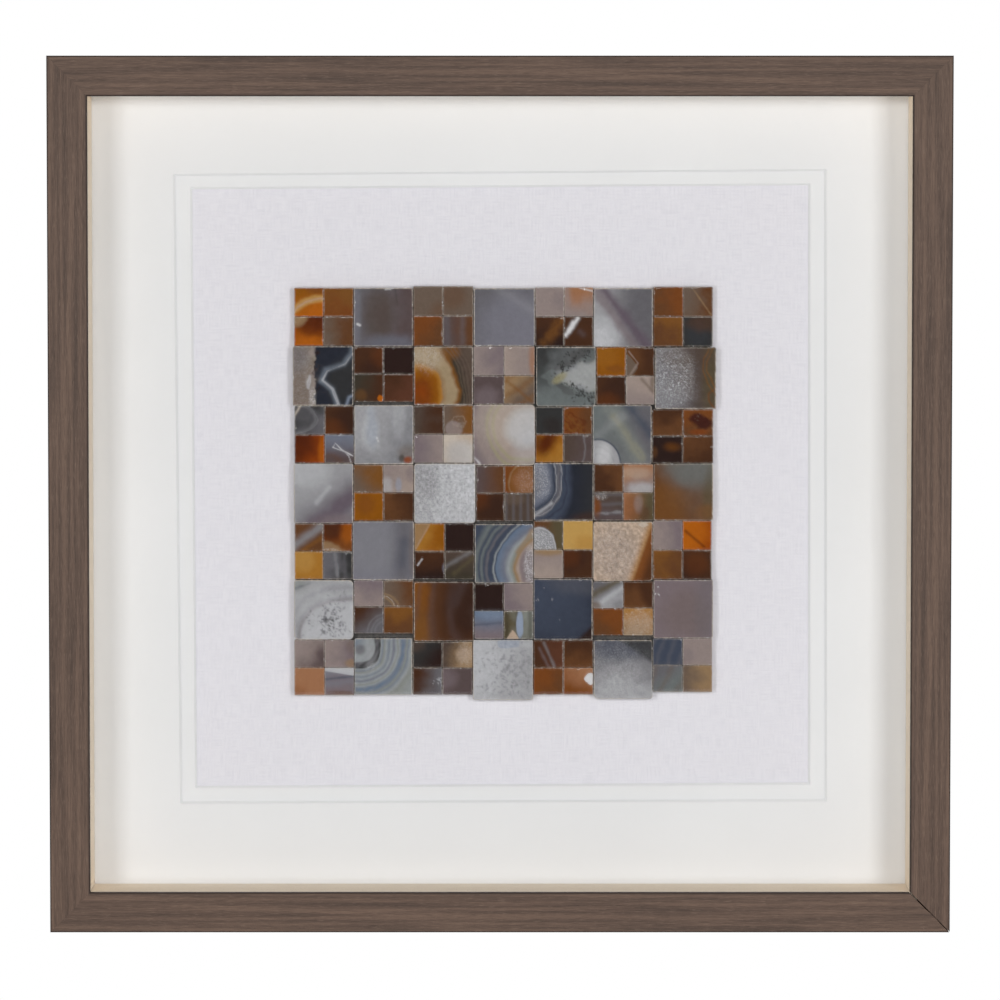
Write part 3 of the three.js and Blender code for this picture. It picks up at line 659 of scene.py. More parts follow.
# %% Figures of the large stones
LARGE = {
    (1, 2): lambda s: s.wash("smoke", "dark mauve", 20)
    .patch("dark taupe", (0.42, 0.45), (0.28, 0.5), cover=0.7)
    .patch("blue grey", (0.6, 1.0), (0.5, 0.2), cover=0.6)
    .patch("lavender", (0.02, 0.5), (0.1, 0.6), cover=0.6)
    .stripes("smoke", 0, 2, 0.15)
    .vein("charcoal", (0.7, 0.02), (0.74, 0.3), 0.02, 0.35)
    .vein("white", (0.06, 0.62), (0.1, 0.64), 0.015, 0.9)
    .vein("white", (0.54, 0.02), (0.62, 0.02), 0.02, 0.8)
    .grain(0.05),
    (1, 4): lambda s: s.wash("smoke", "lavender", 45, 0.2)
    .patch("lavender", (0.6, 0.6), (0.5, 0.5), cover=0.9)
    .vein("silver", (0.4, 0.0), (1.0, 0.4), 0.09, 0.2)
    .vein("smoke", (0.1, 0.1), (0.3, 0.02), 0.03, 0.5)
    .grain(0.03),
    (1, 6): lambda s: s.wash("silver", "smoke", 0, 0.1)
    .patch("smoke", (0.9, 0.25), (0.4, 0.5), 0.6)
    .patch("frost", (0.15, 0.8), (0.35, 0.3), cover=0.8)
    .vein("purple", (0.15, 0.0), (0.9, 1.0), 0.1, 0.85, 0.03)
    .vein("mauve", (0.0, 0.0), (0.7, 1.0), 0.08, 0.7, 0.03)
    .druse((0.15, 0.85), (0.2, 0.2), 0.2)
    .grain(0.06),
    (2, 1): lambda s: s.wash("navy", "navy", 30)
    .patch("charcoal", (0.85, 0.6), (0.3, 0.35), 0.3, cover=0.8)
    .course("dusk", [(0.98, 0.0), (0.97, 0.12), (0.84, 0.3), (0.55, 0.4), (0.47, 0.58)], 0.045, 0.65, 0.02)
    .course("dusk", [(0.47, 0.58), (0.64, 0.72), (0.76, 1.02)], 0.04, 0.65, 0.02)
    .course("frost", [(1.0, 0.1), (0.87, 0.3), (0.57, 0.42), (0.49, 0.57), (0.66, 0.72), (0.77, 1.02)],
            0.012, 0.7, 0.02)
    .course("pale blue", [(1.02, 0.82), (0.93, 0.86), (0.88, 1.02)], 0.03, 0.8, 0.02)
    .beyond("black", (0.37, 0.5), 180, 0.05, 0.8, 0.1)
    .beyond("cream", (0.34, 0.5), 180, 0.02, 0.45, 0.1)
    .beyond("rose", (0.325, 0.5), 180, 0.03, 0.45, 0.1)
    .beyond("taupe", (0.3, 0.5), 180, 0.08, 0.5, 0.1)
    .beyond("taupe", (0.2, 0.5), 180, 0.3, 0.5, 0.25)
    .patch("smoke", (0.05, 0.2), (0.2, 0.25), cover=0.5)
    .vein("frost", (0.28, 0.5), (0.26, 0.7), 0.02, 0.7, 0.03)
    .druse((0.32, 0.85), (0.05, 0.14), 0.5)
    .druse((0.13, 0.5), (0.2, 0.6), 0.15, light="rose", dark="dark taupe")
    .grain(0.08),
    (2, 3): lambda s: s.rings(
        (0.1, 0.85),
        [(0, "flame"), (0.16, "ember"), (0.3, "amber"), (0.37, "gold"), (0.41, "tan"), (0.48, "bone"),
         (0.58, "bone"), (0.64, "ochre"), (0.7, "dark olive"), (0.84, "dark taupe"), (1.3, "taupe")],
        size=(1, 1.35), bend=0.05,
    )
    .patch("bone", (0.18, 0.1), (0.3, 0.2), cover=0.85, bend=0.3)
    .patch("ember", (0.0, 0.95), (0.2, 0.18), cover=0.9)
    .patch("ochre", (0.62, 0.08), (0.14, 0.14), cover=0.8)
    .arcs("taupe", (0.1, 0.85), (0.74, 0.79, 0.84, 0.9), 0.012, 0.5, size=(1, 1.35))
    .druse((0.25, 0.2), (0.25, 0.25), 0.2, light="cream", dark="tan")
    .grain(0.08),
    (2, 5): lambda s: s.wash("charcoal", "grey green", 90, 0.3)
    .patch("grey green", (0.5, 0.85), (0.6, 0.2), cover=0.6)
    .patch("mist", (1.0, 0.3), (0.75, 0.4), 0.3, cover=0.3, bend=0.3)
    .patch("black", (1.02, 0.5), (0.84, 0.46), 0.1, cover=0.3, bend=0.5, power=1.2)
    .patch("grey green", (1.02, 0.5), (0.8, 0.42), 0.1, cover=0.6, bend=0.5, power=1.2)
    .patch("reed", (1.02, 0.5), (0.7, 0.35), 0.1, bend=0.45, power=1.2)
    .patch("frost", (0.98, 0.48), (0.55, 0.26), 0.3, cover=0.45, bend=0.3)
    .fringe("charcoal", [
        (24, 0.013, (0.34, 0.54), 0.04),
        (30, 0.014, (0.46, 0.36), 0.05),
        (30, 0.013, (0.62, 0.2), 0.06),
        (30, 0.012, (0.85, 0.13), 0.06),
        (20, 0.013, (0.6, 0.64), 0.04),
        (36, 0.014, (0.74, 0.78), 0.06),
        (24, 0.013, (0.92, 0.86), 0.06),
    ])
    .patch("straw", (0.4, 0.52), (0.13, 0.06), turn=-35, cover=0.8)
    .grain(0.08),
    (2, 7): lambda s: s.wash("smoke", "dark taupe", 0, 0.15)
    .patch("olive", (0.98, 0.5), (0.2, 0.8), cover=0.7)
    .patch("dark taupe", (0.55, 0.15), (0.5, 0.16), cover=0.6)
    .arcs("ochre", (1.5, 0.3), (0.64, 0.7), 0.012, 0.6)
    .arcs("rust", (1.1, 0.85), (0.2,), 0.015, 0.6)
    .patch("ash", (0.2, 0.8), (0.3, 0.25), cover=0.3)
    .druse((0.25, 0.5), (0.36, 0.55), 0.4, soft=0.6, light="ash", dark="dark taupe")
    .specks("frost", 40, 0.011, (0.28, 0.5), 0.16, 0.75)
    .grain(0.08),
    (3, 2): lambda s: s.wash("ash", "silver", 200, 0.4)
    .patch("frost", (0.25, 0.45), (0.14, 0.42), cover=0.6, bend=0.35)
    .patch("pale blue", (0.3, 0.35), (0.1, 0.3), cover=0.35, bend=0.35)
    .patch("frost", (0.75, 0.25), (0.12, 0.3), cover=0.35, bend=0.35)
    .patch("smoke", (0.15, 0.9), (0.2, 0.2), cover=0.3)
    .patch("taupe", (0.9, 0.82), (0.16, 0.14), cover=0.5)
    .patch("dark olive", (0.8, 0.9), (0.05, 0.06), cover=0.7)
    .patch("flame", (0.9, 0.93), (0.07, 0.06), cover=0.85, bend=0.4)
    .vein("white", (0.38, 0.55), (0.41, 0.62), 0.007, 0.7, 0.01)
    .grain(0.1),
    (3, 4): lambda s: s.rings(
        (0.82, 0.36),
        [(0, "frost"), (0.2, "frost"), (0.36, "blush"), (0.5, "blush"), (0.62, "rose"), (0.74, "rose"),
         (0.86, "mauve"), (1.1, "smoke")],
        size=(1, 1.15),
    )
    .arcs("straw", (0.82, 0.36), (0.5, 0.6), 0.03, 0.7, size=(1, 1.15))
    .patch("cream", (0.6, 0.25), (0.5, 0.4), cover=0.3)
    .patch("frost", (0.95, 0.6), (0.3, 0.4), cover=0.3)
    .vein("white", (0.02, 0.88), (0.1, 0.97), 0.02, 0.7)
    .grain(0.05),
    (3, 6): lambda s: s.wash("smoke", "grey green", 200, 0.4)
    .vein("sage", (0.3, 0.1), (0.8, 0.95), 0.14, 0.6, 0.06)
    .vein("straw", (0.35, 0.2), (0.85, 0.9), 0.06, 0.3, 0.06)
    .vein("frost", (0.1, 0.5), (0.5, 0.2), 0.08, 0.15, 0.06)
    .vein("slate", (0.6, 0.0), (1.0, 0.5), 0.1, 0.7, 0.04)
    .patch("silver", (0.1, 1.04), (0.37, 0.45), 0.03, bend=0.02)
    .patch("white", (0.2, 0.85), (0.12, 0.2), cover=0.5)
    .arcs("smoke", (0.1, 1.04), (0.45, 0.7), 0.03, 0.12, size=(0.38, 0.46), bend=0.02)
    .arcs("slate", (0.1, 1.04), (1.0,), 0.03, 0.95, size=(0.38, 0.46), bend=0.02)
    .grain(0.05),
    (4, 1): lambda s: s.wash("silver", "ash", 50, 0.2)
    .patch("frost", (0.2, 0.15), (0.4, 0.25), cover=0.6)
    .vein("purple", (0.3, 1.05), (1.1, 0.5), 0.22, 0.85, 0.05)
    .patch("mauve", (0.8, 0.97), (0.4, 0.12), cover=0.7)
    .vein("frost", (0.38, 0.66), (0.6, 0.4), 0.04, 0.5)
    .grain(0.04),
    (4, 3): lambda s: s.wash("silver", "frost", 0, 0.3)
    .patch("smoke", (0.15, 0.25), (0.25, 0.3), cover=0.3, bend=0.3)
    .specks("smoke", 60, 0.014, (0.22, 0.3), 0.16, 0.45)
    .specks("ash", 60, 0.014, (0.5, 0.5), 0.3, 0.35)
    .druse((0.5, 0.5), (0.8, 0.8), 0.3, light="white", dark="ash")
    .specks("smoke", 160, 0.009, (0.45, 0.4), 0.3, 0.5)
    .grain(0.28, 36),
    (4, 5): lambda s: s.rings(
        (-0.05, 0.3),
        [(0, "smoke"), (0.3, "blue grey"), (0.42, "slate"), (0.5, "smoke"), (0.56, "slate"),
         (0.66, "slate"), (0.78, "navy"), (1.3, "charcoal")],
        size=(0.95, 1.2), power=2.2, bend=0.04,
    )
    .arcs("silver", (-0.05, 0.3), (0.46, 0.54), 0.008, 0.7, size=(0.95, 1.2), power=2.2, bend=0.04)
    .arcs("navy", (-0.05, 0.3), (0.42, 0.62), 0.015, 0.5, size=(0.95, 1.2), power=2.2, bend=0.04)
    .vein("frost", (0.0, 0.92), (0.3, 0.7), 0.02, 0.6, 0.02)
    .patch("dark brown", (0.9, 1.0), (0.3, 0.14), cover=0.5)
    .druse((0.12, 0.3), (0.16, 0.3), 0.35, light="dusk", dark="navy")
    .grain(0.05),
    (4, 7): lambda s: s.wash("brown", "taupe", 310, 0.3)
    .patch("ochre", (0.15, 0.75), (0.4, 0.4), cover=0.5)
    .patch("grey green", (0.8, 0.1), (0.55, 0.3), cover=0.7)
    .patch("olive", (0.95, 0.6), (0.12, 0.5), cover=0.6)
    .patch("ochre", (0.9, 0.85), (0.2, 0.14), cover=0.5)
    .grain(0.05),
    (5, 2): lambda s: s.wash("lavender", "lavender", 0)
    .patch("ash", (0.35, 0.45), (0.4, 0.5), cover=0.5)
    .vein("smoke", (0.84, 0.0), (0.8, 1.1), 0.17, 0.85, 0.02)
    .vein("slate", (0.84, 0.35), (0.8, 0.75), 0.1, 0.4, 0.02)
    .patch("taupe", (1.0, 0.5), (0.08, 0.5), cover=0.4)
    .grain(0.02),
    (5, 4): lambda s: s.rings(
        (1.3, 0.75),
        [(0.4, "rose"), (0.55, "blush"), (0.6, "tan"), (0.66, "sage"), (0.72, "mist"), (0.8, "blue grey"),
         (0.92, "blue"), (0.945, "slate"), (0.965, "mist"), (0.99, "slate"), (1.05, "slate"),
         (1.08, "smoke"), (1.13, "slate"), (1.18, "grey green"), (1.22, "slate"), (1.28, "grey green"),
         (1.4, "slate")],
        size=(1, 0.9), bend=0.03,
    )
    .vein("tan", (0.72, 0.48), (0.98, 0.12), 0.04, 0.7)
    .patch("mauve", (0.9, 0.75), (0.14, 0.34), 0.2, cover=0.8)
    .druse((0.95, 0.72), (0.1, 0.3), 0.6)
    .grain(0.05),
    (5, 6): lambda s: s.wash("sand", "sand", 0)
    .patch("blush", (0.4, 0.6), (0.4, 0.5), cover=0.5)
    .specks("taupe", 60, 0.012, (0.3, 0.5), 0.3, 0.35)
    .grain(0.3, 26)
    .grain(0.3, 48)
    .druse((0.32, 0.5), (0.35, 0.5), 0.2, light="cream", dark="taupe")
    .beyond("gold", (0.77, 0.5), 19, 0.14, 0.75)
    .beyond("rust", (0.84, 0.5), 19, 0.07, 0.95)
    .beyond("dark brown", (0.94, 0.6), 19, 0.16, 0.8)
    .patch("cream", (0.84, 0.05), (0.09, 0.05), 0.15, cover=0.7, power=1.2)
    .grain(0.04),
    (6, 1): lambda s: s.wash("silver", "frost", 45, 0.3)
    .arcs("mauve", (0.9, 1.15), (0.82,), 0.03, 0.6, power=2.5, bend=0.03)
    .arcs("ash", (0.9, 1.15), (0.86, 1.02), 0.05, 0.6, power=2.5, bend=0.03)
    .arcs("silver", (0.9, 1.15), (0.94,), 0.04, 0.7, power=2.5, bend=0.03)
    .patch("sage", (0.08, 0.08), (0.16, 0.14), cover=0.6)
    .vein("slate", (0.02, 0.15), (0.32, 0.03), 0.03, 0.6, 0.05)
    .patch("frost", (0.3, 0.4), (0.4, 0.3), cover=0.4)
    .specks("ash", 100, 0.018, (0.62, 0.7), 0.2, 0.6)
    .specks("smoke", 60, 0.018, (0.6, 0.72), 0.15, 0.7)
    .specks("charcoal", 9, 0.03, (0.62, 0.74), 0.1, 0.6)
    .grain(0.05),
    (6, 3): lambda s: s.wash("brown", "dark brown", 0, 0.1)
    .patch("amber", (0.06, 0.2), (0.22, 0.3), cover=0.5, bend=0.3)
    .patch("ochre", (0.1, 0.85), (0.16, 0.4), cover=0.8)
    .patch("dark brown", (0.75, 0.5), (0.4, 0.8), cover=0.8)
    .patch("black", (0.85, 0.4), (0.3, 0.5), cover=0.6)
    .stripes("dark mauve", 5, 3, 0.3, 0.9)
    .grain(0.06),
    (6, 5): lambda s: s.wash("slate", "navy", 50, 0.1)
    .patch("slate", (0.5, 0.6), (0.6, 0.5), cover=0.7)
    .patch("smoke", (0.8, 0.06), (0.5, 0.2), cover=0.3)
    .beyond("black", (0.86, 0.88), 45, 0.08, 0.95, 0.02)
    .specks("silver", 6, 0.012, (0.3, 0.3), 0.2, 0.7)
    .grain(0.05),
    (6, 7): lambda s: s.wash("mauve", "mauve", 0)
    .patch("taupe", (0.55, 0.6), (0.4, 0.4), cover=0.3)
    .patch("smoke", (0.9, 0.5), (0.2, 0.8), cover=0.3)
    .specks("white", 7, 0.02, (0.0, 0.2), 0.06, 0.9)
    .grain(0.03),
    (7, 2): lambda s: s.rings(
        (0.02, 0.08),
        [(0, "dusk"), (0.2, "mist"), (0.33, "mist"), (0.35, "smoke"), (0.44, "charcoal"), (0.46, "mist"),
         (0.49, "dusk"), (0.52, "reed"), (0.55, "mist"), (0.59, "dusk"), (0.62, "mist"),
         (0.66, "blue grey"), (0.7, "mist"), (0.73, "reed"), (0.75, "mist"), (0.78, "dusk"),
         (0.81, "blue"), (0.85, "dusk"), (0.88, "reed"), (0.91, "dusk"), (0.95, "mist"), (1.0, "reed"),
         (1.2, "mist")],
        size=(1, 1.02), power=2.5, bend=0.02,
    )
    .patch("smoke", (0.1, 0.2), (0.09, 0.09), cover=0.8)
    .patch("silver", (0.28, 0.3), (0.1, 0.2), cover=0.4)
    .arcs("charcoal", (0.02, 0.08), (0.38,), 0.025, 0.6, power=2.5, bend=0.07)
    .stripes("ash", 40, 9, 0.25, 0.5)
    .druse((0.3, 0.5), (0.14, 0.06), 0.3, -30)
    .grain(0.05),
    (7, 4): lambda s: s.wash("frost", "silver", 20, 0.3)
    .patch("frost", (0.15, 0.5), (0.3, 0.6), cover=0.6, bend=0.3)
    .specks("smoke", 90, 0.018, (0.6, 0.5), 0.25, 0.4)
    .specks("ash", 110, 0.022, (0.6, 0.5), 0.28, 0.55)
    .patch("pale blue", (0.6, 0.06), (0.18, 0.07), 0.1, cover=0.5, power=4.0)
    .grain(0.1, 27),
    (7, 6): lambda s: s.wash("smoke", "silver", 90, 0.3)
    .patch("slate", (0.45, 0.12), (0.5, 0.25), cover=0.6)
    .patch("frost", (0.6, 0.9), (0.5, 0.2), cover=0.3)
    .beyond("charcoal", (0.72, 0.2), -56, 0.1, 0.8)
    .druse((0.4, 0.5), (0.5, 0.5), 0.2)
    .vein("frost", (0.1, 0.85), (0.4, 0.6), 0.03, 0.3)
    .grain(0.14, 20),
}
print(len(LARGE), "large figures")

# %% [markdown]
# The plainer small stones are of eleven kinds. A kind is a short recipe whose noise, and
# often its direction, varies from stone to stone. Every small stone has its place below
# by row, column and quarter of the cell: about a third are of a kind, and the others
# have a figure of their own.

# %% Kinds of small stones
KINDS = {
    "brown": lambda s: s.wash("brown", "dark brown", s.random.uniform(0, 360), 0.4).grain(0.06),
    "dark brown": lambda s: s.wash("dark brown", "dark brown", 0)
    .patch("black", s.random.uniform(0, 1, 2), (0.6, 0.5), cover=0.5)
    .patch("ember", s.random.uniform(0, 1, 2), (0.4, 0.4), cover=0.25).grain(0.06),
    "taupe": lambda s: s.wash("taupe", "taupe")
    .patch("brown", s.random.uniform(0, 1, 2), (0.4, 0.4), cover=0.4).grain(0.05),
    "red brown": lambda s: s.wash("red brown", "dark brown", s.random.uniform(0, 360)).grain(0.06),
    "mauve": lambda s: s.wash("dark mauve", "dark mauve")
    .patch("mauve", s.random.uniform(0, 1, 2), (0.4, 0.4), cover=0.6).grain(0.05),
    "rust": lambda s: s.wash("rust", "brown", s.random.uniform(0, 180), 0.4).grain(0.06),
    "ochre": lambda s: s.wash("ochre", "brown", s.random.uniform(0, 180), 0.4).grain(0.06),
    "black": lambda s: s.wash("black", "black").grain(0.06),
    "slate": lambda s: s.wash("slate", "slate").stripes("smoke", 20, 3, 0.35),
    "rose": lambda s: s.wash("rose", "rose")
    .patch("mauve", s.random.uniform(0, 1, 2), (0.3, 0.3), cover=0.4).grain(0.05),
    "dusty rose": lambda s: s.wash("rose", "mauve", s.random.uniform(0, 360)).grain(0.05),
}
PLACED = {
    "brown": [(4, 2, 3), (4, 6, 0), (3, 7, 3), (3, 7, 0), (6, 6, 1), (7, 5, 1)],
    "dark brown": [(3, 1, 1), (2, 6, 2), (4, 4, 2), (5, 5, 3), (5, 7, 3), (2, 2, 0)],
    "taupe": [(1, 3, 0), (1, 3, 1)],
    "red brown": [(2, 2, 3)],
    "mauve": [(2, 4, 2), (7, 3, 3)],
    "rust": [(1, 3, 2), (1, 7, 0), (6, 6, 2), (7, 5, 2)],
    "ochre": [(1, 7, 2), (5, 7, 2), (6, 2, 3)],
    "black": [(2, 2, 1), (5, 3, 1), (6, 4, 0)],
    "slate": [(7, 7, 0)],
    "rose": [(1, 5, 0), (7, 7, 1)],
    "dusty rose": [(6, 4, 1), (6, 2, 0), (5, 7, 0), (2, 4, 0)],
}
STANDOUT = {
    (1, 1, 0): lambda s: s.wash("amber", "orange", 70, 0.2)
    .arcs("yellow", (0.9, 1.6), (1.15, 1.3), 0.07, 0.7)
    .arcs("sand", (0.9, 1.6), (1.22,), 0.05, 0.6)
    .patch("rust", (0.8, 0.05), (0.4, 0.16), cover=0.7).grain(0.06),
    (1, 1, 1): lambda s: s.wash("ochre", "rust", 100, 0.4).grain(0.06),
    (1, 1, 2): lambda s: s.wash("red", "orange", 100, 0.2)
    .patch("tan", (0.15, 0.12), (0.25, 0.2), bend=0.4)
    .patch("red", (0.55, 0.4), (0.4, 0.25), cover=0.6).grain(0.06),
    (1, 1, 3): lambda s: s.wash("taupe", "brown", 0).grain(0.06),
    (1, 3, 3): lambda s: s.wash("dark mauve", "brown", 0, 0.1).stripes("smoke", 0, 2, 0.4, 0.2).grain(0.05),
    (1, 5, 1): lambda s: s.wash("peach", "rose", 90, 0.2)
    .patch("rose", (0.0, 0.5), (0.2, 0.8), cover=0.7)
    .vein("white", (0.55, 0.03), (0.95, 0.12), 0.03, 0.7, 0.02).grain(0.05),
    (1, 5, 2): lambda s: s.wash("dark brown", "black", 90, 0.2)
    .vein("ochre", (0.3, 0.9), (0.95, 0.1), 0.16, 0.6, 0.1).grain(0.06),
    (1, 5, 3): lambda s: s.wash("dark brown", "dark brown", 60)
    .vein("dark mauve", (0.55, 0.5), (0.65, 0.6), 0.1, 0.6)
    .vein("white", (0.47, 0.06), (0.06, 0.62), 0.07, 1.0, 0.03)
    .vein("white", (0.3, 0.2), (0.15, 0.5), 0.07, 1.0, 0.03),
    (1, 7, 1): lambda s: s.wash("taupe", "brown", 0)
    .vein("tan", (0.35, 0.1), (0.95, 0.95), 0.03, 0.6).grain(0.05),
    (1, 7, 3): lambda s: s.wash("charcoal", "charcoal")
    .patch("slate", (0.5, 0.6), (0.4, 0.4), cover=0.15)
    .patch("brown", (0.7, 0.2), (0.5, 0.3), cover=0.4).grain(0.05),
    (2, 2, 2): lambda s: s.wash("dark olive", "dark brown", 0)
    .patch("ochre", (0.25, 0.75), (0.2, 0.2), cover=0.4)
    .patch("orange", (0.92, 0.9), (0.12, 0.14), 0.2, bend=0.6),
    (2, 4, 1): lambda s: s.wash("rose", "blush", 180)
    .patch("peach", (1.0, 0.5), (0.18, 0.6), cover=0.7).grain(0.04),
    (2, 4, 3): lambda s: s.wash("tan", "taupe", 40)
    .vein("ochre", (0.1, 0.2), (0.9, 0.9), 0.06, 0.5)
    .stripes("ochre", 55, 2, 0.4, 0.3).grain(0.06),
    (2, 6, 0): lambda s: s.wash("amber", "amber", 80, 0.3)
    .patch("gold", (0.3, 0.3), (0.4, 0.4), cover=0.2)
    .patch("rust", (0.6, 0.75), (0.3, 0.12), cover=0.5, bend=0.3).grain(0.05),
    (2, 6, 1): lambda s: s.wash("brown", "dark brown", 0)
    .patch("taupe", (0.05, 0.7), (0.36, 0.45), 0.06, power=1.2, bend=0.05)
    .course("blush", [(0.1, 0.15), (0.42, 0.55), (0.15, 0.95)], 0.02, 0.55, 0.02),
    (2, 6, 3): lambda s: s.wash("blush", "rose", 90)
    .vein("taupe", (0.55, 0.1), (1.0, 0.6), 0.06, 0.6)
    .patch("taupe", (0.98, 0.2), (0.14, 0.3), cover=0.7).grain(0.05),
    (3, 1, 0): lambda s: s.wash("charcoal", "smoke", 60, 0.3)
    .patch("smoke", (0.3, 0.3), (0.4, 0.3), cover=0.5)
    .arcs("ash", (0.1, 0.45), (0.6,), 0.07, 0.35, size=(1, 0.8), bend=0.05)
    .arcs("silver", (0.1, 0.45), (0.64,), 0.015, 0.25, size=(1, 0.8), bend=0.05)
    .vein("cream", (0.02, 0.3), (0.18, 0.0), 0.04, 0.7).grain(0.05),
    (3, 1, 2): lambda s: s.wash("red", "flame", 10, 0.3)
    .patch("red", (0.25, 0.4), (0.35, 0.5), 0.7, cover=0.4, bend=0.3)
    .patch("orange", (0.95, 0.6), (0.15, 0.6), cover=0.6).grain(0.05),
    (3, 1, 3): lambda s: s.wash("blue grey", "dark mauve", 90, 0.1)
    .arcs("brown", (0.2, 1.1), (0.35,), 0.12, 0.35)
    .course("white", [(0.28, 0.45), (0.36, 0.3), (0.6, 0.55), (0.97, 0.75)], 0.022, 0.85, 0.02)
    .course("white", [(0.28, 0.45), (0.62, 0.58), (0.82, 0.75), (0.9, 0.97)], 0.018, 0.75, 0.03)
    .grain(0.05),
    (3, 3, 0): lambda s: s.wash("dark taupe", "dark brown", 0).grain(0.06),
    (3, 3, 1): lambda s: s.wash("taupe", "ochre", 0, 0.15)
    .patch("rose", (0.35, 0.8), (0.3, 0.25), 0.15, cover=0.8)
    .patch("taupe", (0.6, 0.6), (0.1, 0.2), cover=0.6)
    .arcs("cream", (0.45, 0.6), (0.18,), 0.03, 0.2, bend=0.2).grain(0.06),
    (3, 3, 2): lambda s: s.wash("mauve", "rose", 0, 0.15).grain(0.04),
    (3, 3, 3): lambda s: s.wash("cream", "cream")
    .patch("sand", (0.8, 0.15), (0.35, 0.2), cover=0.6)
    .patch("frost", (0.6, 0.7), (0.5, 0.5), cover=0.55)
    .patch("rose", (0.3, 0.7), (0.4, 0.4), cover=0.2).grain(0.04),
    (3, 5, 0): lambda s: s.wash("charcoal", "charcoal", 0)
    .patch("black", (0.6, 0.7), (0.3, 0.3), cover=0.4).grain(0.06),
    (3, 5, 1): lambda s: s.wash("rust", "brown", 0)
    .arcs("red", (-0.2, 1.2), (0.5, 0.75, 1.0), 0.05, 0.5, bend=0.2)
    .arcs("ochre", (-0.2, 1.2), (0.62, 0.87), 0.05, 0.6, bend=0.2),
    (3, 5, 2): lambda s: s.wash("amber", "gold", 50, 0.3)
    .patch("red", (0.4, 0.3), (0.25, 0.45), 0.7, turn=30, cover=0.95)
    .patch("dark brown", (0.0, 0.2), (0.2, 0.3), cover=0.5).grain(0.05),
    (3, 5, 3): lambda s: s.wash("dark taupe", "dark mauve", 0)
    .arcs("ash", (-0.3, 0.5), (1.05,), 0.03, 0.45, size=(1, 1.2)).grain(0.05),
    (3, 7, 1): lambda s: s.wash("rust", "brown", 90)
    .patch("wine", (0.55, 0.45), (0.4, 0.22), 0.3, turn=20, cover=0.9, bend=0.4)
    .patch("flame", (0.5, 0.85), (0.3, 0.1), cover=0.5)
    .specks("taupe", 8, 0.03, (0.5, 0.35), 0.15, 0.5).grain(0.12),
    (3, 7, 2): lambda s: s.wash("black", "black", 90, 0.2)
    .patch("amber", (0.65, 0.4), (0.22, 0.14), 0.9, cover=0.35)
    .patch("ochre", (0.08, 0.6), (0.1, 0.2), cover=0.3).grain(0.06),
    (4, 2, 0): lambda s: s.wash("taupe", "ochre", 320, 0.3).grain(0.05),
    (4, 2, 1): lambda s: s.wash("rose", "blush", 30)
    .patch("mauve", (0.9, 0.35), (0.15, 0.3), cover=0.5)
    .patch("pale blue", (0.5, 0.75), (0.1, 0.25), cover=0.5)
    .patch("frost", (0.1, 0.8), (0.2, 0.3), cover=0.5).grain(0.05),
    (4, 2, 2): lambda s: s.wash("amber", "amber", 0)
    .patch("rust", (0.4, 0.4), (0.3, 0.35), cover=0.5).grain(0.05),
    (4, 4, 0): lambda s: s.wash("dark mauve", "brown", 0, 0.1).grain(0.05),
    (4, 4, 1): lambda s: s.wash("rust", "rust", 0)
    .patch("ochre", (0.7, 0.6), (0.55, 0.65), 0.1, cover=0.7, bend=0.1)
    .patch("peach", (0.7, 0.6), (0.4, 0.45), 0.5, cover=0.4)
    .arcs("tan", (0.7, 0.6), (1.0,), 0.04, 0.7, size=(0.55, 0.65), bend=0.05)
    .druse((0.75, 0.6), (0.35, 0.5), 0.18, light="sand", dark="rust"),
    (4, 4, 3): lambda s: s.wash("dark taupe", "dark taupe", 0)
    .stripes("smoke", 0, 4, 0.5, 0.1)
    .patch("taupe", (0.3, 0.2), (0.4, 0.2), cover=0.5).grain(0.05),
    (4, 6, 1): lambda s: s.wash("peach", "rose", 80, 0.2)
    .patch("sand", (0.4, 0.3), (0.5, 0.2), cover=0.5)
    .patch("frost", (0.6, 0.85), (0.4, 0.2), cover=0.6).grain(0.04),
    (4, 6, 2): lambda s: s.wash("dark taupe", "dark mauve", 90)
    .stripes("smoke", 90, 3, 0.5, 0.3)
    .vein("silver", (0.1, 0.75), (0.9, 0.7), 0.03, 0.5, 0.06)
    .patch("rust", (0.08, 0.5), (0.16, 0.35), cover=0.9)
    .druse((0.25, 0.15), (0.2, 0.12), 0.4, light="cream"),
    (4, 6, 3): lambda s: s.wash("peach", "olive", 0, 0.2)
    .patch("rust", (0.25, 0.6), (0.3, 0.5), cover=0.5)
    .patch("red brown", (0.7, 0.75), (0.2, 0.3), cover=0.5)
    .patch("rose", (0.5, 0.4), (0.14, 0.3), cover=0.5).grain(0.06),
    (5, 1, 0): lambda s: s.wash("brown", "brown", 0)
    .vein("ash", (0.0, 0.8), (0.95, 0.1), 0.16, 0.85, 0.04)
    .vein("ochre", (0.3, 0.95), (1.0, 0.5), 0.08, 0.7).grain(0.06),
    (5, 1, 1): lambda s: s.wash("red", "rust", 60)
    .patch("orange", (0.9, 0.3), (0.3, 0.4), cover=0.5)
    .patch("dark brown", (0.3, 0.2), (0.3, 0.3), cover=0.6)
    .patch("tan", (0.25, 0.88), (0.4, 0.16), turn=20, cover=0.8, bend=0.4)
    .druse((0.25, 0.95), (0.3, 0.06), 0.4, light="cream", dark="ochre").grain(0.06),
    (5, 1, 2): lambda s: s.wash("gold", "gold", 0)
    .patch("yellow", (0.3, 0.3), (0.4, 0.4), cover=0.4).grain(0.04),
    (5, 1, 3): lambda s: s.wash("smoke", "charcoal", 0)
    .vein("ash", (0.4, 0.0), (0.5, 1.0), 0.05, 0.8, 0.05)
    .stripes("smoke", 0, 3, 0.4).grain(0.04),
    (5, 3, 0): lambda s: s.wash("gold", "amber", 0)
    .beyond("tan", (0.32, 0.4), 205, 0.05, 0.8)
    .vein("sand", (0.05, 0.9), (0.5, 0.05), 0.02, 0.4).grain(0.05),
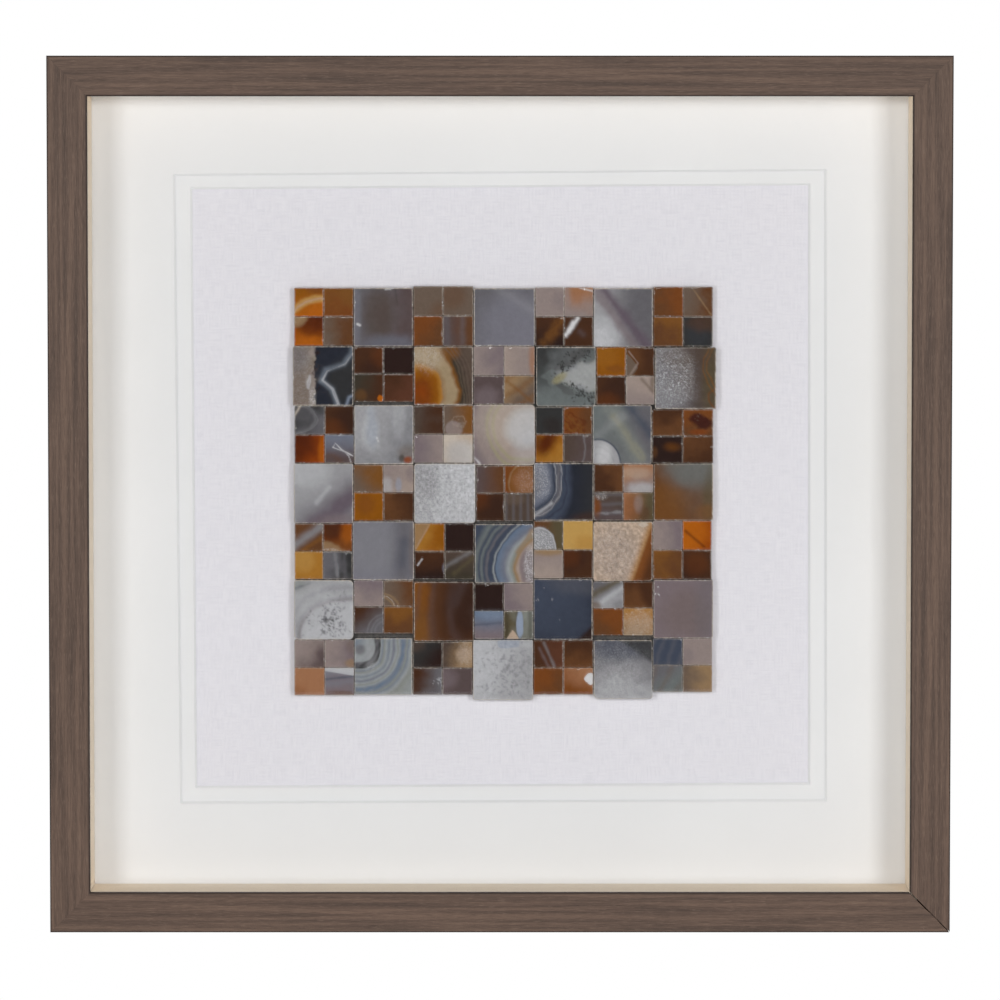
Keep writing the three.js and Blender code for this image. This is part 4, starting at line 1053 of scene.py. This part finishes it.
    (5, 3, 2): lambda s: s.wash("dark brown", "black", 90)
    .vein("white", (0.1, 0.5), (0.26, 0.27), 0.014)
    .patch("blue grey", (0.97, 0.6), (0.05, 0.14), cover=0.5).grain(0.05),
    (5, 3, 3): lambda s: s.wash("dark taupe", "dark olive", 90, 0.2)
    .vein("ash", (0.0, 0.55), (0.9, 0.0), 0.08, 0.5, 0.03)
    .vein("olive", (0.3, 0.8), (1.0, 0.2), 0.08, 0.6, 0.03).grain(0.05),
    (5, 5, 0): lambda s: s.wash("brown", "olive", 0)
    .patch("ash", (0.2, 1.0), (0.55, 0.75), 0.05, bend=0.1)
    .arcs("frost", (0.2, 1.0), (1.0,), 0.04, 0.9, size=(0.55, 0.75))
    .druse((0.2, 1.0), (0.5, 0.7), 0.6, soft=0.05),
    (5, 5, 1): lambda s: s.wash("yellow", "yellow", 0, 0.2)
    .patch("gold", (0.8, 0.8), (0.4, 0.3), cover=0.4).grain(0.04),
    (5, 5, 2): lambda s: s.wash("rose", "blush", 90)
    .patch("tan", (0.5, 0.0), (0.6, 0.2), cover=0.9).grain(0.04),
    (5, 7, 1): lambda s: s.wash("orange", "flame", 0, 0.1)
    .patch("orange", (0.3, 0.4), (0.6, 0.7), cover=0.8)
    .vein("red", (0.1, 0.35), (0.75, 0.9), 0.05, 0.6).grain(0.05),
    (6, 2, 1): lambda s: s.wash("taupe", "brown", 0, 0.2)
    .arcs("tan", (-0.1, 1.1), (0.45, 0.6), 0.04, 0.7)
    .arcs("cream", (-0.1, 1.1), (0.52,), 0.015, 0.6).grain(0.05),
    (6, 2, 2): lambda s: s.wash("dark brown", "smoke", 45, 0.1)
    .arcs("ash", (1.2, 1.0), (0.5, 0.62, 0.75), 0.03, 0.35),
    (6, 4, 2): lambda s: s.wash("blue", "mauve", 90, 0.05)
    .patch("pale blue", (0.6, 0.1), (0.5, 0.2), cover=0.3)
    .vein("slate", (0.0, 0.5), (1.0, 0.42), 0.05, 0.5, 0.02).grain(0.04),
    (6, 4, 3): lambda s: s.wash("olive", "sage", 0)
    .stripes("dark olive", 0, 2.5, 0.5, 0.1)
    .patch("pale blue", (0.55, 0.45), (0.12, 0.5), 0.2)
    .patch("sand", (0.3, 0.98), (0.22, 0.3), 0.08, power=1.0).grain(0.05),
    (6, 6, 0): lambda s: s.wash("smoke", "silver", 60, 0.1)
    .vein("olive", (0.0, 0.5), (0.8, 0.0), 0.12, 0.8, 0.03)
    .vein("frost", (0.1, 0.95), (1.0, 0.2), 0.1, 0.7, 0.03)
    .patch("taupe", (0.05, 0.9), (0.2, 0.15), cover=0.8)
    .patch("smoke", (0.9, 0.9), (0.25, 0.2), cover=0.5),
    (6, 6, 3): lambda s: s.wash("gold", "tan", 90)
    .patch("sand", (0.5, 0.5), (0.5, 0.5), cover=0.4, bend=0.6)
    .specks("cream", 16, 0.03, (0.45, 0.5), 0.25, 0.5)
    .druse((0.5, 0.5), (0.6, 0.6), 0.15, light="cream", dark="rust").grain(0.12),
    (7, 1, 0): lambda s: s.wash("rose", "dark mauve", 45).grain(0.05),
    (7, 1, 1): lambda s: s.wash("rose", "mauve", 20)
    .patch("tan", (0.85, 0.85), (0.2, 0.16), cover=0.7, bend=0.4)
    .patch("taupe", (0.9, 0.2), (0.2, 0.3), cover=0.4).grain(0.05),
    (7, 1, 2): lambda s: s.wash("peach", "peach", 0)
    .patch("rust", (0.1, 0.9), (0.3, 0.3), cover=0.3).grain(0.04),
    (7, 1, 3): lambda s: s.wash("lavender", "mauve", 100)
    .stripes("lavender", 80, 2, 0.6, 0.2)
    .vein("slate", (0.0, 0.42), (1.0, 0.3), 0.05, 0.7)
    .beyond("frost", (0.5, 0.2), -80, 0.06)
    .patch("brown", (0.6, 0.98), (0.5, 0.14), cover=0.7),
    (7, 3, 0): lambda s: s.wash("charcoal", "black", 30, 0.2)
    .patch("dark taupe", (0.1, 0.1), (0.3, 0.3), cover=0.7).grain(0.05),
    (7, 3, 1): lambda s: s.wash("dark taupe", "tan", 10, 0.2)
    .patch("sand", (0.75, 0.45), (0.25, 0.35), cover=0.6, bend=0.4)
    .druse((0.8, 0.5), (0.25, 0.5), 0.2, light="cream", dark="tan").grain(0.15),
    (7, 3, 2): lambda s: s.wash("dark brown", "smoke", 10, 0.2)
    .specks("frost", 14, 0.025, (0.92, 0.5), 0.12, 0.7).grain(0.05),
    (7, 5, 0): lambda s: s.wash("dark brown", "red brown", 0)
    .vein("ash", (0.35, 0.1), (0.7, 0.95), 0.05, 0.5)
    .vein("mauve", (0.2, 0.3), (0.5, 0.95), 0.05, 0.4).grain(0.06),
    (7, 5, 3): lambda s: s.wash("rust", "peach", 300, 0.2)
    .patch("white", (0.93, 0.4), (0.22, 0.22), 0.08, power=1.3, bend=0.3).grain(0.05),
    (7, 7, 2): lambda s: s.wash("smoke", "grey green", 60, 0.2)
    .stripes("taupe", 20, 2, 0.4).grain(0.05),
    (7, 7, 3): lambda s: s.wash("taupe", "tan", 0).grain(0.05),
}
print(len(STANDOUT), "small stones with a figure of their own")

# %% [markdown]
# A real stone is a sawn block whose face is ground flat and polished after its edges have
# lost a few crumbs. The mesh is one grid over the face whose outer rings run down the
# rim and the side, closed by one face at the back. Where noise near the rim is high, the
# grid dips: those are the chips, and they are pale, as broken agate is. The rim is
# frosted because it is never polished. Each stone leans a little, as glue lets it.

# %% Helper: the shape of a stone
RIM_STEPS = np.array([0, 0, 0.15, 0.35, 0.6, 0.95]) * MM
RIM_DEPTH = 0.32 * MM
CHIP_REACH = 1.3 * MM
CHIP_DEPTH = 0.7 * MM
LEAN = math.radians(0.25)
SPACING = 0.7 * MM
FLAT_FROM = 1.4 * MM  # where the even spacing of the grid begins
CHIP_LUMP = 2.2 * MM
FROST_LUMP = 1.5 * MM
CRYSTAL_LUMP = 0.9 * MM
CRYSTAL_DEPTH = 0.12 * MM
SET_BACK = 0.25 * MM  # how far a stone may sit deeper than its neighbours


def side_places(low, high):
    """Places of the points along one side: close together at the rim, even between."""
    count = round((high - low) / SPACING)
    inner = np.linspace(low + FLAT_FROM, high - FLAT_FROM, count)
    return np.concatenate([low + RIM_STEPS, inner, high - RIM_STEPS[::-1]])


def stone(bounds, depths, radii, figure, seed, rim):
    """Points, quads, back face, colours and crystal amounts of one stone. Bounds are left,
    right, bottom and top; depths are those of the front and the back; radii round the
    corners, from the top left one clockwise; rim says how pale the rims are."""
    left, right, bottom, top = bounds
    front, back = depths
    random = np.random.default_rng(seed)
    x, z = np.meshgrid(side_places(left, right), side_places(bottom, top)[::-1], indexing="ij")
    rows, columns = x.shape
    i, j = np.meshgrid(np.arange(rows), np.arange(columns), indexing="ij")
    ring = np.minimum(np.minimum(i, rows - 1 - i), np.minimum(j, columns - 1 - j))
    to_rim = np.minimum(np.minimum(x - left, right - x), np.minimum(z - bottom, top - z))
    u, v = (x - left) / (right - left), (top - z) / (top - bottom)

    for radius, corner_x, corner_z in zip(radii, (left, right, right, left), (top, top, bottom, bottom)):
        turn_x = corner_x + (radius if corner_x == left else -radius)
        turn_z = corner_z + (radius if corner_z == bottom else -radius)
        past_x = (x - turn_x) * np.sign(corner_x - turn_x)
        past_z = (z - turn_z) * np.sign(corner_z - turn_z)
        inside = (past_x > 0) & (past_z > 0)
        longest, length = np.maximum(past_x, past_z), np.hypot(past_x, past_z)
        shrink = np.where(inside, longest / np.maximum(length, 1e-9), 1)
        x = turn_x + (x - turn_x) * shrink
        z = turn_z + (z - turn_z) * shrink

    face = Slab(u, v, seed)
    figure(face)
    lump = cloud(x / CHIP_LUMP, z / CHIP_LUMP, seed + 3, 2)
    chip = smooth(1.5 * lump - 0.25 - to_rim / CHIP_REACH)
    rounded = np.clip(1 - to_rim / RIM_DEPTH, 0, 1)
    depth = RIM_DEPTH * (1 - np.sqrt(1 - rounded**2)) + CHIP_DEPTH * chip
    rough = face.crystal * cloud(x / CRYSTAL_LUMP, z / CRYSTAL_LUMP, seed + 5, 2)
    lean_x, lean_z = random.uniform(-LEAN, LEAN, 2)
    lean = (x - (left + right) / 2) * lean_x + (z - (bottom + top) / 2) * lean_z
    y = front + depth + CRYSTAL_DEPTH * np.clip(rough, -1, 0) + lean + random.uniform(0, 1) * SET_BACK
    y = np.where(ring == 0, back, y)

    sides = random.uniform(0.4, 1.1, 4)
    nearest = np.argmin(np.stack([x - left, right - x, z - bottom, top - z]), axis=0)
    patchy = np.clip(0.7 + 0.7 * cloud(x / FROST_LUMP, z / FROST_LUMP, seed + 8, 2), 0, 1.3)
    frosted = rim * sides[nearest] * patchy * smooth((0.8 * MM - to_rim) / (0.5 * MM))
    # Painted highlights: white glints laid into the colour near the rims.
    spark = cloud(x / CRYSTAL_LUMP, z / CRYSTAL_LUMP, seed + 9, 1)
    painted_glint = smooth(4 * spark - 1.7) * smooth((0.7 * MM - to_rim) / (0.35 * MM))
    face.lay("cream", np.maximum(0.65 * frosted, 0.45 * chip))
    face.lay("white", 0.85 * painted_glint)
    crystal = np.maximum(face.crystal, np.maximum(0.8 * chip, 0.3 * frosted))

    number = i * columns + j
    quads = np.stack([number[:-1, :-1], number[:-1, 1:], number[1:, 1:], number[1:, :-1]], axis=-1)
    edge = np.concatenate([number[:-1, 0], number[-1, :-1], number[:0:-1, -1], number[0, :0:-1]])
    points = np.stack([x, y, z], axis=-1).reshape(-1, 3)
    return points, quads.reshape(-1, 4), edge, np.clip(face.rgb, 0, 1).reshape(-1, 3), crystal.ravel()


def stone_object(name, stones):
    """One object from one or more stones, with their colours as point attributes."""
    points, quads, edges, rgb, crystal = zip(*stones)
    starts = np.cumsum([0] + [len(one) for one in points])
    faces = np.concatenate([own + start for own, start in zip(quads, starts)]).tolist()
    faces += [(edge + start).tolist() for edge, start in zip(edges, starts)]
    made = mesh_object(name, np.concatenate(points), faces, smooth=True)
    colours = np.concatenate(rgb)
    layer = made.data.color_attributes.new("figure", "FLOAT_COLOR", "POINT")
    layer.data.foreach_set("color", np.concatenate([colours, np.ones((len(colours), 1))], axis=1).ravel())
    amount = made.data.attributes.new("crystal", "FLOAT", "POINT")
    amount.data.foreach_set("value", np.concatenate(crystal))
    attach(made, "root")
    return made


# %% [markdown]
# The places follow the CAD: seven cells by seven, whose borders wander by up to 0.3 mm,
# and by up to 3.4 mm more where a stone was set high, low or askew. The joints are
# narrower than in the CAD, which keeps its solids apart. The large stones stand 1.5 mm
# prouder than the small ones, so each large one throws a thin shadow.

# %% Places of the stones
CELLS = 7
CELL_WIDTH, CELL_HEIGHT = 40.97 * MM, 39.88 * MM
MOSAIC_X, MOSAIC_Z = 2.4 * MM, MIDDLE_Z - 0.1 * MM
HALF_JOINT = 0.15 * MM
HALF_SEAM = 0.07 * MM  # between the small stones of one cell
JOINT_WANDER = 0.3 * MM
OFF_PLACE = {  # how far the left, right, bottom and top side of a cell are moved, in mm
    (1, 1): (0, 0, 0, 0.4), (1, 3): (0, 0, 0, 1), (1, 4): (0, 0.7, 0, 0), (1, 5): (0.7, 0, 0, 0.8),
    (1, 6): (0, 0, -0.7, 0), (1, 7): (0, -0.4, 0, 0.6), (2, 1): (-0.8, 0, -1, 0),
    (2, 2): (0, 0, 1.6, 0), (2, 4): (0, 0.7, 0, 0), (2, 5): (1.4, 2, -1.2, 0),
    (2, 6): (2.1, 0.7, 0, -0.7), (2, 7): (0.7, 2.3, -3.3, -0.3), (3, 1): (0.6, 0, 0, -1),
    (3, 2): (0, 0, -1, -0.3), (3, 3): (0, 0, -0.4, 0), (3, 4): (0, 0.9, -2, 0),
    (3, 5): (0.9, -0.7, 0, -1.3), (3, 6): (-0.7, -0.7, -0.7, 0), (3, 7): (-0.7, 0, 0, -3.4),
    (4, 1): (0, 0, -1.4, 0), (4, 2): (0, 0.4, 0, -1.1), (4, 3): (0.4, 1.5, -1.5, -0.5),
    (4, 4): (1.6, 0, -0.4, -2.1), (4, 6): (0, 0, 0, -0.7), (5, 1): (0, -1.3, -0.5, -1.5),
    (5, 2): (-1.3, 0, -0.8, 0), (5, 3): (0, 0.4, 0, -1.5), (5, 4): (0.5, 0, -2.6, -2),
    (5, 6): (0, 0, -1.4, -0.5), (5, 7): (0, -0.5, 0, 0), (6, 1): (-0.4, 0, -1.9, -0.7),
    (6, 2): (0, 0, 2.5, -0.8), (6, 3): (0, 0, -3, -1.3), (6, 4): (0, 0, -1.2, -2.7),
    (6, 5): (0, 0, -2.1, 0), (6, 6): (0, 0, 1.3, -1.5), (6, 7): (0, 0, -1, 0), (7, 1): (0, 0, 0, -2),
    (7, 2): (0, -0.7, 0, -0.3), (7, 3): (-0.7, -0.7, 0, -3.2), (7, 4): (-0.7, 0, -3.2, -1.4),
    (7, 5): (0, 0, 0, -2.2), (7, 6): (0, 0, -2.7, -1.5), (7, 7): (0, -0.4, 2.2, -1),
}
ROUND_CORNERS = {(4, 3): 2.6, (5, 6): 2.2, (3, 4): 2.2, (6, 1): 2.0, (7, 6): 2.6, (2, 5): 2.0}


def wander(line, along, direction):
    """How far the stretch of a border next to one cell strays from its even place."""
    return JOINT_WANDER * math.sin(12.9 * line + 7.7 * along + 4.1 * direction + 1.3 * line * along)


def cell_bounds(row, column):
    """Left, right, bottom and top of a cell, without half a joint on each side."""
    left, top = MOSAIC_X - CELLS * CELL_WIDTH / 2, MOSAIC_Z + CELLS * CELL_HEIGHT / 2
    off = [value * MM for value in OFF_PLACE.get((row, column), (0, 0, 0, 0))]
    return (
        left + (column - 1) * CELL_WIDTH + wander(column - 1, row, 0) + off[0] + HALF_JOINT,
        left + column * CELL_WIDTH + wander(column, row, 0) + off[1] - HALF_JOINT,
        top - row * CELL_HEIGHT + wander(row, column, 1) + off[2] + HALF_JOINT,
        top - (row - 1) * CELL_HEIGHT + wander(row - 1, column, 1) + off[3] - HALF_JOINT,
    )


def quarters(row, column):
    """Bounds of the four small stones of a cell: upper left, upper right, lower left, lower right."""
    left, right, bottom, top = cell_bounds(row, column)
    seam_x = (left + right) / 2 + wander(row, column, 2)
    seam_z = (bottom + top) / 2 + wander(row, column, 3)
    gap = HALF_SEAM
    return [
        (left, seam_x - gap, seam_z + gap, top),
        (seam_x + gap, right, seam_z + gap, top),
        (left, seam_x - gap, bottom, seam_z - gap),
        (seam_x + gap, right, bottom, seam_z - gap),
    ]


stone_back = corners("linen_board")[0][1] - 0.3 * MM
large_front = corners("stone_r1_c2")[0][1]
small_front = corners("small_stones_r1_c5")[0][1]
print("worst step from the CAD:", max(
    abs(cell_bounds(row, column)[0] - corners(f"stone_r{row}_c{column}")[0][0]) for row, column in LARGE
))

# %% Large stones
LARGE_RIM = 1.5  # how strongly the rims are frosted
SMALL_RIM = 0.7
large_stones = []
for row, column in sorted(LARGE):
    random = np.random.default_rng(row * 10 + column)
    radii = random.uniform(0.7, 1.5, 4) + ROUND_CORNERS.get((row, column), 0) * random.uniform(0, 1, 4) ** 2
    one = stone(cell_bounds(row, column), (large_front, stone_back), radii * MM, LARGE[row, column],
                row * 10 + column, LARGE_RIM)
    made = stone_object(f"agate_r{row}_c{column}", [one])
    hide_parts(f"stone_r{row}_c{column}")
    large_stones.append(made)
print(len(large_stones), "large stones with", len(large_stones[0].data.polygons), "faces each")

# %% Small stones
JOINED = {(1, 1), (1, 3), (5, 5)}  # these cells share a node with the one down and to the right
SMALL_SEED = 200  # keeps the seeds of the small stones apart from those of the large ones
kind_at = {place: kind for kind, places in PLACED.items() for place in places}


def small_stones(row, column):
    """The four stones of a cell."""
    made = []
    for quarter, bounds in enumerate(quarters(row, column)):
        place = (row, column, quarter)
        figure = STANDOUT[place] if place in STANDOUT else KINDS[kind_at[place]]
        seed = row * 100 + column * 10 + quarter + SMALL_SEED
        radii = np.random.default_rng(seed).uniform(0.3, 0.9, 4) * MM
        made.append(stone(bounds, (small_front, stone_back), radii, figure, seed, SMALL_RIM))
    return made


small_objects = []
for row in range(1, CELLS + 1):
    for column in range(1, CELLS + 1):
        if (row + column) % 2 or (row - 1, column - 1) in JOINED:
            continue
        node, stones = f"small_stones_r{row}_c{column}", small_stones(row, column)
        if (row, column) in JOINED:
            node += f"_r{row + 1}_c{column + 1}"
            stones += small_stones(row + 1, column + 1)
        made = stone_object(node.replace("small_stones", "small_agates"), stones)
        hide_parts(node)
        small_objects.append(made)
print(len(small_objects), "groups of small stones")

# %% [markdown]
# The finish reads the figure from the points and breaks it up with fine noise. Polished
# agate is glossy; its broken rims and crystals are rough and catch the light in points,
# so the crystal amount of a point steers both roughness and bump. On them it also paints
# glints as white specks and shade as dark specks.

# %% Agate finish
agate = Finish("polished_agate", Specular_IOR_Level=0.35)
figure_colour = agate.node("Attribute", attribute_name="figure").outputs["Color"]
crystal_amount = agate.node("Attribute", attribute_name="crystal").outputs["Fac"]
dust = agate.noise(agate.place(), 2600, detail=3)
haze = agate.noise(agate.place(), 260, detail=4)
dust_tone = agate.ramp(dust, [(0.3, (0.72, 0.72, 0.72)), (0.7, (1, 1, 1))])
haze_tone = agate.ramp(haze, [(0.3, (0.8, 0.8, 0.8)), (0.65, (1, 1, 1))])
mottled = agate.mix(0.5, figure_colour, dust_tone, "MULTIPLY")
hazy = agate.mix(0.35, mottled, haze_tone, "MULTIPLY")
crystals = agate.node("TexVoronoi", {"Vector": agate.place(), "Scale": 2200.0}).outputs["Color"]
turned = agate.node("SeparateXYZ", {"Vector": crystals}).outputs["X"]
# Painted glints and painted shade: on crystals and rims some cells are laid white, some dark.
painted_sparkle = agate.math("MULTIPLY", agate.math("GREATER_THAN", turned, 0.76), crystal_amount)
dim = agate.math("MULTIPLY", agate.math("LESS_THAN", turned, 0.2), crystal_amount)
dimmed = agate.mix(agate.math("MULTIPLY", dim, 0.5), hazy, srgb(70, 68, 70))
agate.colour(agate.mix(agate.math("MULTIPLY", painted_sparkle, 0.65), dimmed, srgb(220, 220, 222)))
rough_crystal = agate.math("MULTIPLY", crystal_amount, 0.8)
agate.rough(agate.math("ADD", rough_crystal, agate.math("MULTIPLY", haze, 0.12)), 0.05, 0.6)
facets = agate.node("TexVoronoi", {"Vector": agate.place(), "Scale": 2000.0}).outputs["Distance"]
facet_relief = agate.math("MULTIPLY", facets, crystal_amount)
relief = agate.math("ADD", facet_relief, agate.math("MULTIPLY", haze, 0.06))
agate.bump(relief, 0.5, 0.0004)
for made in large_stones + small_objects:
    made.data.materials.append(agate.material)

# %% [markdown]
# A thin dark sheet under the stones, a little short of their outer edges, is painted shade
# for the joints. It only shows where a stone sits off its place and leaves a gap.

# %% Dark sheet of painted shade in the joints
BED_INSET = 0.9 * MM
BED_STEPS = 60
BED_THICKNESS = 0.28 * MM
line = range(1, CELLS + 1)
bed_left = max(cell_bounds(row, 1)[0] for row in line)
bed_right = min(cell_bounds(row, CELLS)[1] for row in line)
bed_bottom = max(cell_bounds(CELLS, column)[2] for column in line)
bed_top = min(cell_bounds(1, column)[3] for column in line)
bed_low = np.array([bed_left, bed_bottom]) + BED_INSET
bed_high = np.array([bed_right, bed_top]) - BED_INSET
way_round = np.linspace(0, 1, BED_STEPS, endpoint=False)
there_and_back = np.stack([np.abs((way_round * 4 + shift) % 4 - 2) for shift in (2.5, 1.5)], axis=1)
square = np.clip(there_and_back - 0.5, 0, 1)
ragged_edge = 0.35 * MM * cloud(way_round * 40, way_round * 0, 77)[:, None] * np.sign(square - 0.5)
outline = bed_low + square * (bed_high - bed_low) + ragged_edge
linen_front = corners("linen_board")[0][1]
rings_y = [linen_front - 0.01 * MM, linen_front - BED_THICKNESS]
bed_points = [(x, y, z) for y in rings_y for x, z in outline]
bed_faces = [list(range(BED_STEPS)), list(range(2 * BED_STEPS - 1, BED_STEPS - 1, -1))]
bed_faces += [
    [k, k + BED_STEPS, (k + 1) % BED_STEPS + BED_STEPS, (k + 1) % BED_STEPS] for k in range(BED_STEPS)
]
bed = mesh_object("joint_shade_sheet", bed_points, bed_faces)
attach(bed, "root")
# Painted shade: the sheet's dark colour stands in for the shade down in the gaps.
joint_shade_finish = Finish("painted_joint_shade", Roughness=0.6)
lumpy = joint_shade_finish.noise(joint_shade_finish.place(), 500, detail=4)
joint_shade_finish.colour(joint_shade_finish.ramp(lumpy, [(0.3, srgb(48, 46, 44)), (0.7, srgb(84, 80, 76))]))
joint_shade_finish.bump(lumpy, 0.4, 0.0004)
bed.data.materials.append(joint_shade_finish.material)
print("bed from", bed_low, "to", bed_high)
